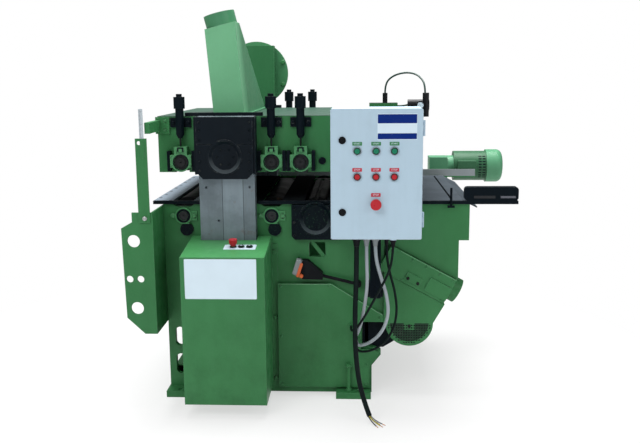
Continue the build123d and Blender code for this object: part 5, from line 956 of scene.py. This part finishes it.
# Labels, bezels, button rims and locks on the door
BUTTON_X = (386.0, 458.0, 528.0)
START_Z = 1096
STOP_Z = 997
START_LABEL_Z = 1124
STOP_LABEL_Z = 1024
ESTOP = (458.0, 892)
ESTOP_LABEL = (458.0, 927)
LOCK_SPOTS = ((329, 1137), (329, 859))
label = plate(37, 14, 2, 0.9, 0.2)
start_spots = grid(BUTTON_X, [START_LABEL_Z])
stop_spots = grid(BUTTON_X, [STOP_LABEL_Z]) + [ESTOP_LABEL]
piece("start_labels", "door", label_green, label, front(start_spots, DOOR_FACE))
piece("stop_labels", "door", label_red, label, front(stop_spots, DOOR_FACE))
for number, spot in enumerate(start_spots, start=1):
    words(f"start_word_{number}", "START", 0.0088, spot)
for number, spot in enumerate(stop_spots, start=1):
    words(f"stop_word_{number}", "STOP", 0.0098, spot)

bezel = lathe((
    (17.0, 0), (17.0, 3.0), (16.2, 5.0), (14.8, 6.0), (13.6, 6.0), (13.35, 5.0), (13.35, 0),
), 40, hollow=True)
bezel_spots = grid(BUTTON_X, (START_Z, STOP_Z)) + [ESTOP]
piece("door_bezels", "door", dark_ring, bezel, front(bezel_spots, DOOR_FACE))
rim = lathe(((13.0, 0), (13.0, 0.4), (12.5, 0.9), (10.8, 0.9), (10.3, 0.4), (10.3, 0)), 40, hollow=True)
for number, x in enumerate(BUTTON_X, start=1):
    for kind, z in (("start", START_Z), ("stop", STOP_Z)):
        piece(f"{kind}_rim_{number}", f"{kind}_button_{number}", dark_ring, rim,
              front([(x, z)], DOOR_FACE - 9))
lock = joined(
    (lathe(((14.2, 0), (14.2, 3.6), (12.6, 5.0), (9.0, 5.0), (8.4, 4.2), (0.3, 4.2)), 36), 0),
    (plate(11, 3.2, 1, 1.6, 0.3), 4.2),
)
piece("door_locks", "door", black_plastic, lock, front(LOCK_SPOTS, DOOR_FACE))


# Controls on the lift cover's sloping top
TILT = 35.0 / 275.0
TOP_NORMAL = (0, -TILT, 1)
TOP_REAR_Z = 710
CONTROL_REACH = 150
LIFT_ESTOP_X, LIFT_UP_X, LIFT_DOWN_X = -121, -88, -54


def on_top(x, lift=0.0, turn=0.0):
    """A placing in the row of controls on the sloping top."""
    up = Vector(TOP_NORMAL).normalized()
    place = Vector((x, -HALF - CONTROL_REACH, TOP_REAR_Z - CONTROL_REACH * TILT)) + up * lift
    return facing(place, TOP_NORMAL, turn)


piece("lift_control_plate", "base", white_print, plate(132, 58, 3, 1.4, 0.3), [on_top(-93)])
ring = lathe(((13.6, 0), (13.6, 4.6), (12.4, 6.5), (9.6, 6.6), (9.4, 5.0), (9.4, 0)), 36, hollow=True)
ring_places = [on_top(x) for x in (LIFT_ESTOP_X, LIFT_UP_X, LIFT_DOWN_X)]
piece("lift_rings", "base", black_plastic, ring, ring_places)
arrow = slab_shape([(-6, -4.5), (6, -4.5), (0, 6)], 0.5, 0.1)
piece("up_arrow", "lift_up_button", white_print, arrow, [on_top(LIFT_UP_X, 9.0)])
piece("down_arrow", "lift_down_button", white_print, arrow, [on_top(LIFT_DOWN_X, 9.0, pi)])


# Connector: grey socket shell and orange latch over the black hood
CONNECTOR_TURN = radians(-18)
for name, material, shape, (x, z), reach, slot in (
    ("connector_shell", grey_plastic, plate(26, 68, 6, 36, 4), (132, 582), 20, "cabinet_paint"),
    ("connector_latch", orange_plastic, plate(13, 64, 6, 5, 1.2), (143, 572), 53, "red_plastic"),
    ("connector_latch_bar", orange_plastic, plate(15, 15, 5, 44, 2), (150, 545), 14, "red_plastic"),
):
    piece(name, "base", material, shape, [facing((x, -HALF - reach, z), FRONT_NORMAL, CONNECTOR_TURN)])


# Gauge on the regulator
GAUGE = (650, -345, 1255)
TICKS_R = 10.4


def on_gauge(lift, across=0.0, rise=0.0, turn=0.0):
    """A placing on the gauge, at a height over its back."""
    return [facing((GAUGE[X] + across, GAUGE[Y] - lift, GAUGE[Z] + rise), FRONT_NORMAL, turn)]


gauge_rim = lathe(((18.4, 0), (18.4, 19), (17.4, 20), (13.6, 20), (13.2, 18.6), (0.3, 18.6)), 40)
gauge_dial = lathe(((13.0, 0), (13.0, 0.3), (0.2, 0.3)), 36)
gauge_needle = slab_shape([(-3, -0.6), (9, -0.15), (9, 0.15), (-3, 0.6)], 0.25, 0.05)
piece("gauge_rim", "head", black_plastic, gauge_rim, on_gauge(0))
piece("gauge_dial", "head", white_print, gauge_dial, on_gauge(18.7))
tick_places = []
for step in range(11):
    angle = radians(225 - 27 * step)
    tick_places += on_gauge(19.05, TICKS_R * cos(angle), TICKS_R * sin(angle), angle)
piece("gauge_ticks", "head", ink, plate(3.2, 0.7, 0.2, 0.1, steps=1), tick_places)
piece("gauge_needle", "head", ink, gauge_needle, on_gauge(19.1, turn=radians(150)))


# Cords: each follows the points of its route as the control points of one smooth curve
MAINS_R = 10.0
MAINS_POINTS = (
    (384, -610, 737), (384, -610, 590), (377, -612, 420), (380, -630, 250), (400, -678, 112), (437, -727, 30),
)
CABLES = (
    ("grey_cable_1", 7.0, grey_sheath, (
        (424, -610, 737), (424, -610, 650), (429, -607, 545), (414, -594, 430), (396, -565, 338),
        (376, -520, 290), (376, -455, 290),
    )),
    ("grey_cable_2", 7.0, grey_sheath, (
        (459, -610, 737), (459, -610, 665), (478, -613, 590), (506, -612, 505), (516, -608, 420),
        (490, -596, 340), (440, -572, 284), (384, -525, 252), (384, -455, 252),
    )),
    ("black_cable_1", 5.0, rubber, (
        (529, -640, 737), (529, -640, 675), (514, -644, 605), (480, -642, 538), (446, -632, 470),
        (412, -614, 402), (380, -578, 345), (360, -520, 318), (360, -455, 318),
    )),
    ("black_cable_2", 5.0, rubber, (
        (505, -580, 737), (505, -580, 665), (518, -583, 590), (541, -584, 510), (551, -580, 425),
        (538, -572, 345), (500, -565, 282), (444, -550, 240), (386, -510, 224), (386, -455, 224),
    )),
)
HOSE_R = 4.0
HOSES = (
    ("air_hose_1", (
        (510, -125, 1302), (510, -125, 1342), (540, -142, 1376), (592, -172, 1392), (640, -212, 1386),
        (668, -258, 1358), (675, -290, 1325), (675, -290, 1292),
    )),
    ("air_hose_2", (
        (565, -125, 1244), (597, -125, 1244), (622, -152, 1254), (634, -198, 1262), (636, -243, 1264),
        (636, -285, 1264),
    )),
    ("air_hose_3", (
        (565, -145, 1230), (592, -145, 1230), (611, -169, 1234), (617, -207, 1240), (618, -246, 1244),
        (618, -285, 1244),
    )),
)


def smooth_curve(name, points):
    """A smooth curve with control points in millimetres, which starts and ends at the outer two."""
    curve = bpy.data.curves.new(name, "CURVE")
    curve.dimensions = "3D"
    spline = curve.splines.new("NURBS")
    spline.points.add(len(points) - 1)
    for point, place in zip(spline.points, points):
        point.co = (*(Vector(place) * MM), 1.0)
    spline.order_u = 3
    spline.use_endpoint_u = True
    spline.resolution_u = 12
    return curve


def route(name, points, radius, material, body):
    """A round cord on a smooth curve."""
    curve = smooth_curve(name, points)
    curve.bevel_depth = radius * MM
    curve.bevel_resolution = 5
    curve.use_fill_caps = True
    curve.materials.append(material)
    return ride_and_slot(name, curve, body)


def line_length(points):
    """Length of the smooth curve that the control points give, measured on the curve itself."""
    holder = bpy.data.objects.new("measure", smooth_curve("measure", points))
    scene.collection.objects.link(holder)
    bpy.context.view_layer.update()
    mesh = bpy.data.meshes.new_from_object(holder.evaluated_get(bpy.context.evaluated_depsgraph_get()))
    total = 0.0
    for edge in mesh.edges:
        a, b = (mesh.vertices[index].co for index in edge.vertices)
        total += (a - b).length
    bpy.data.objects.remove(holder)
    bpy.data.meshes.remove(mesh)
    return total


def lay_cord(name, points, radius, material, body, cad_node):
    """A cord with both ends on the machine, in place of a CAD node."""
    cord = route(name, points, radius, material, body)
    line_length(points)
    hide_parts(cad_node)


for name, radius, material, points in CABLES:
    lay_cord(name, points, radius, material, "base", "control_cables")
for name, points in HOSES:
    lay_cord(name, points, HOSE_R, hose_plastic, "head", "air_hoses")

# Supply cable with four bare-ended cores, set square in the sheath's end, each bent towards its own tip
CORE_R = 2.4
WIRE_R = 1.5
CORE_OFFSET = 3.6
CORE_STRAIGHT = 16
TIP_Z = 2.9
CORES = (
    ("brown", (0.10, 0.035, 0.015), (-1, -1), (478, -745)),
    ("grey", (0.22, 0.23, 0.24), (-1, 1), (500, -754)),
    ("yellow", (0.42, 0.36, 0.03), (1, 1), (489, -770)),
    ("dark", (0.02, 0.02, 0.022), (1, -1), (470, -776)),
)
mains = route("supply_cable", MAINS_POINTS, MAINS_R, rubber, "base")
end = Vector(MAINS_POINTS[-1])
run = (end - Vector(MAINS_POINTS[-2])).normalized()
across = run.cross(Vector(UP)).normalized()
rise = across.cross(run)
cores = []
for tint, colour, (side, up), (x, y) in CORES:
    name = f"core_{tint}"
    centre = end + (across * side + rise * up) * CORE_OFFSET
    knee = centre + run * CORE_STRAIGHT
    tip = Vector((x, y, TIP_Z))
    finish = plastic(name, colour, 0.4, 500, 0.15)
    sheath_points = (centre - run * 6, knee, knee.lerp(tip, 0.78))
    cores.append(route(name, sheath_points, CORE_R, finish, "base"))
    wire_points = (knee.lerp(tip, 0.74), knee.lerp(tip, 0.9), tip)
    cores.append(route(name + "_wire", wire_points, WIRE_R, copper, "base"))
line_length(MAINS_POINTS)
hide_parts("mains_cable")
for core in cores:
    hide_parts("mains_cable")


# Glands where the cables leave the cabinet: a nut and a tapered sleeve round each sheath
def gland(radius):
    """A hexagon nut over a tapered sleeve, downwards from its seat."""
    nut = slab_shape(hexagon(radius + 8), 9, 1.5)
    sleeve_profile = ((4.5, 0), (4.5, 3), (3.0, 10), (1.2, 23), (-0.5, 24))
    sleeve = lathe([(radius + wall, height) for wall, height in sleeve_profile], 28)
    return joined((nut, 0), (sleeve, 9))


piece("supply_gland", "base", black_plastic, gland(MAINS_R), [facing(MAINS_POINTS[0], DOWN)])
for name, radius, material, points in CABLES:
    finish = grey_plastic if material is grey_sheath else black_plastic
    piece(name + "_gland", "base", finish, gland(radius), [facing(points[0], DOWN)])


# Stage: pale floor that keeps the shadow, a white surround, soft lamps and the camera
def seen_by(tree, *kinds):
    """1 for either of two kinds of ray."""
    rays = add_node(tree, "LightPath").outputs
    return add_node(tree, "Math", rays[kinds[0]], rays[kinds[1]], operation="MAXIMUM").outputs[0]


def stage_floor():
    """A round floor that turns to plain white away from the object."""
    points, faces = lathe(((9000, 0), (9000, 1), (0.5, 1)), 64)
    mesh = bpy.data.meshes.new("floor")
    mesh.from_pydata([Vector(p) * MM - Vector(UP) * MM for p in points], [], faces)
    floor = bpy.data.objects.new("floor", mesh)
    scene.collection.objects.link(floor)
    material = bpy.data.materials.new("floor")
    material.use_nodes = True
    tree = material.node_tree
    tree.nodes.clear()
    diffuse = add_node(tree, "BsdfDiffuse", Color=FLOOR_GREY).outputs[0]
    glow = add_node(tree, "Emission", Color=PURE_WHITE).outputs[0]
    coords = add_node(tree, "TexCoord").outputs["Object"]
    away = add_node(tree, "VectorMath", coords, operation="LENGTH").outputs["Value"]
    fade = add_node(tree, "MapRange", Value=away, From_Min=0.4, From_Max=1.9, To_Min=0.55, To_Max=1.0)
    seen = seen_by(tree, "Is Camera Ray", "Is Glossy Ray")
    amount = add_node(tree, "Math", fade.outputs["Result"], seen, operation="MULTIPLY").outputs[0]
    mixed = add_node(tree, "MixShader", amount, diffuse, glow).outputs[0]
    add_node(tree, "OutputMaterial", mixed)
    mesh.materials.append(material)


def white_world():
    """A plain surround that lights the object softly and is white to the camera."""
    world = bpy.data.worlds.new("studio")
    scene.world = world
    world.use_nodes = True
    tree = world.node_tree
    tree.nodes.clear()
    surround = add_node(tree, "Background", Color=PURE_WHITE, Strength=0.24).outputs[0]
    white = add_node(tree, "Background", Color=PURE_WHITE).outputs[0]
    seen = seen_by(tree, "Is Camera Ray", "Is Transmission Ray")
    mixed = add_node(tree, "MixShader", seen, surround, white).outputs[0]
    add_node(tree, "OutputWorld", mixed)


def area_lamp(name, place, target, width, height, power):
    """A soft rectangular lamp that points at a target."""
    light = bpy.data.lights.new(name, "AREA")
    light.shape = "RECTANGLE"
    light.size = width
    light.size_y = height
    light.energy = power
    lamp = bpy.data.objects.new(name, light)
    scene.collection.objects.link(lamp)
    lamp.location = place
    lamp.rotation_euler = (Vector(target) - Vector(place)).to_track_quat("-Z", "Y").to_euler()


stage_floor()
white_world()
area_lamp("key", (-1.6, -3.6, 3.6), (0.1, 0, 0.8), 2.6, 2.0, 82)
area_lamp("fill", (3.4, -2.8, 2.2), (0.2, 0, 0.8), 2.4, 2.4, 38)
area_lamp("top", (0.2, 0.6, 4.2), (0.2, 0, 0.8), 3.0, 3.0, 350)

# The camera looks slightly down and to the left
CAMERA_PLACE = (0.38888, -3.761, 1.38155)
CAMERA_TURN = radians(2.753)
CAMERA_DOWN = radians(10.357)
CAMERA_ROLL = radians(-0.433)
camera_data = bpy.data.cameras.new("camera")
camera_data.lens = 45
camera_data.sensor_width = 36
camera_data.sensor_fit = "HORIZONTAL"
camera = bpy.data.objects.new("camera", camera_data)
scene.collection.objects.link(camera)
aim = Matrix.Rotation(CAMERA_TURN, 4, "Z") @ Matrix.Rotation(pi / 2 - CAMERA_DOWN, 4, "X")
camera.matrix_world = Matrix.Translation(CAMERA_PLACE) @ aim @ Matrix.Rotation(CAMERA_ROLL, 4, "Z")
scene.camera = camera
scene.view_settings.view_transform = "Standard"
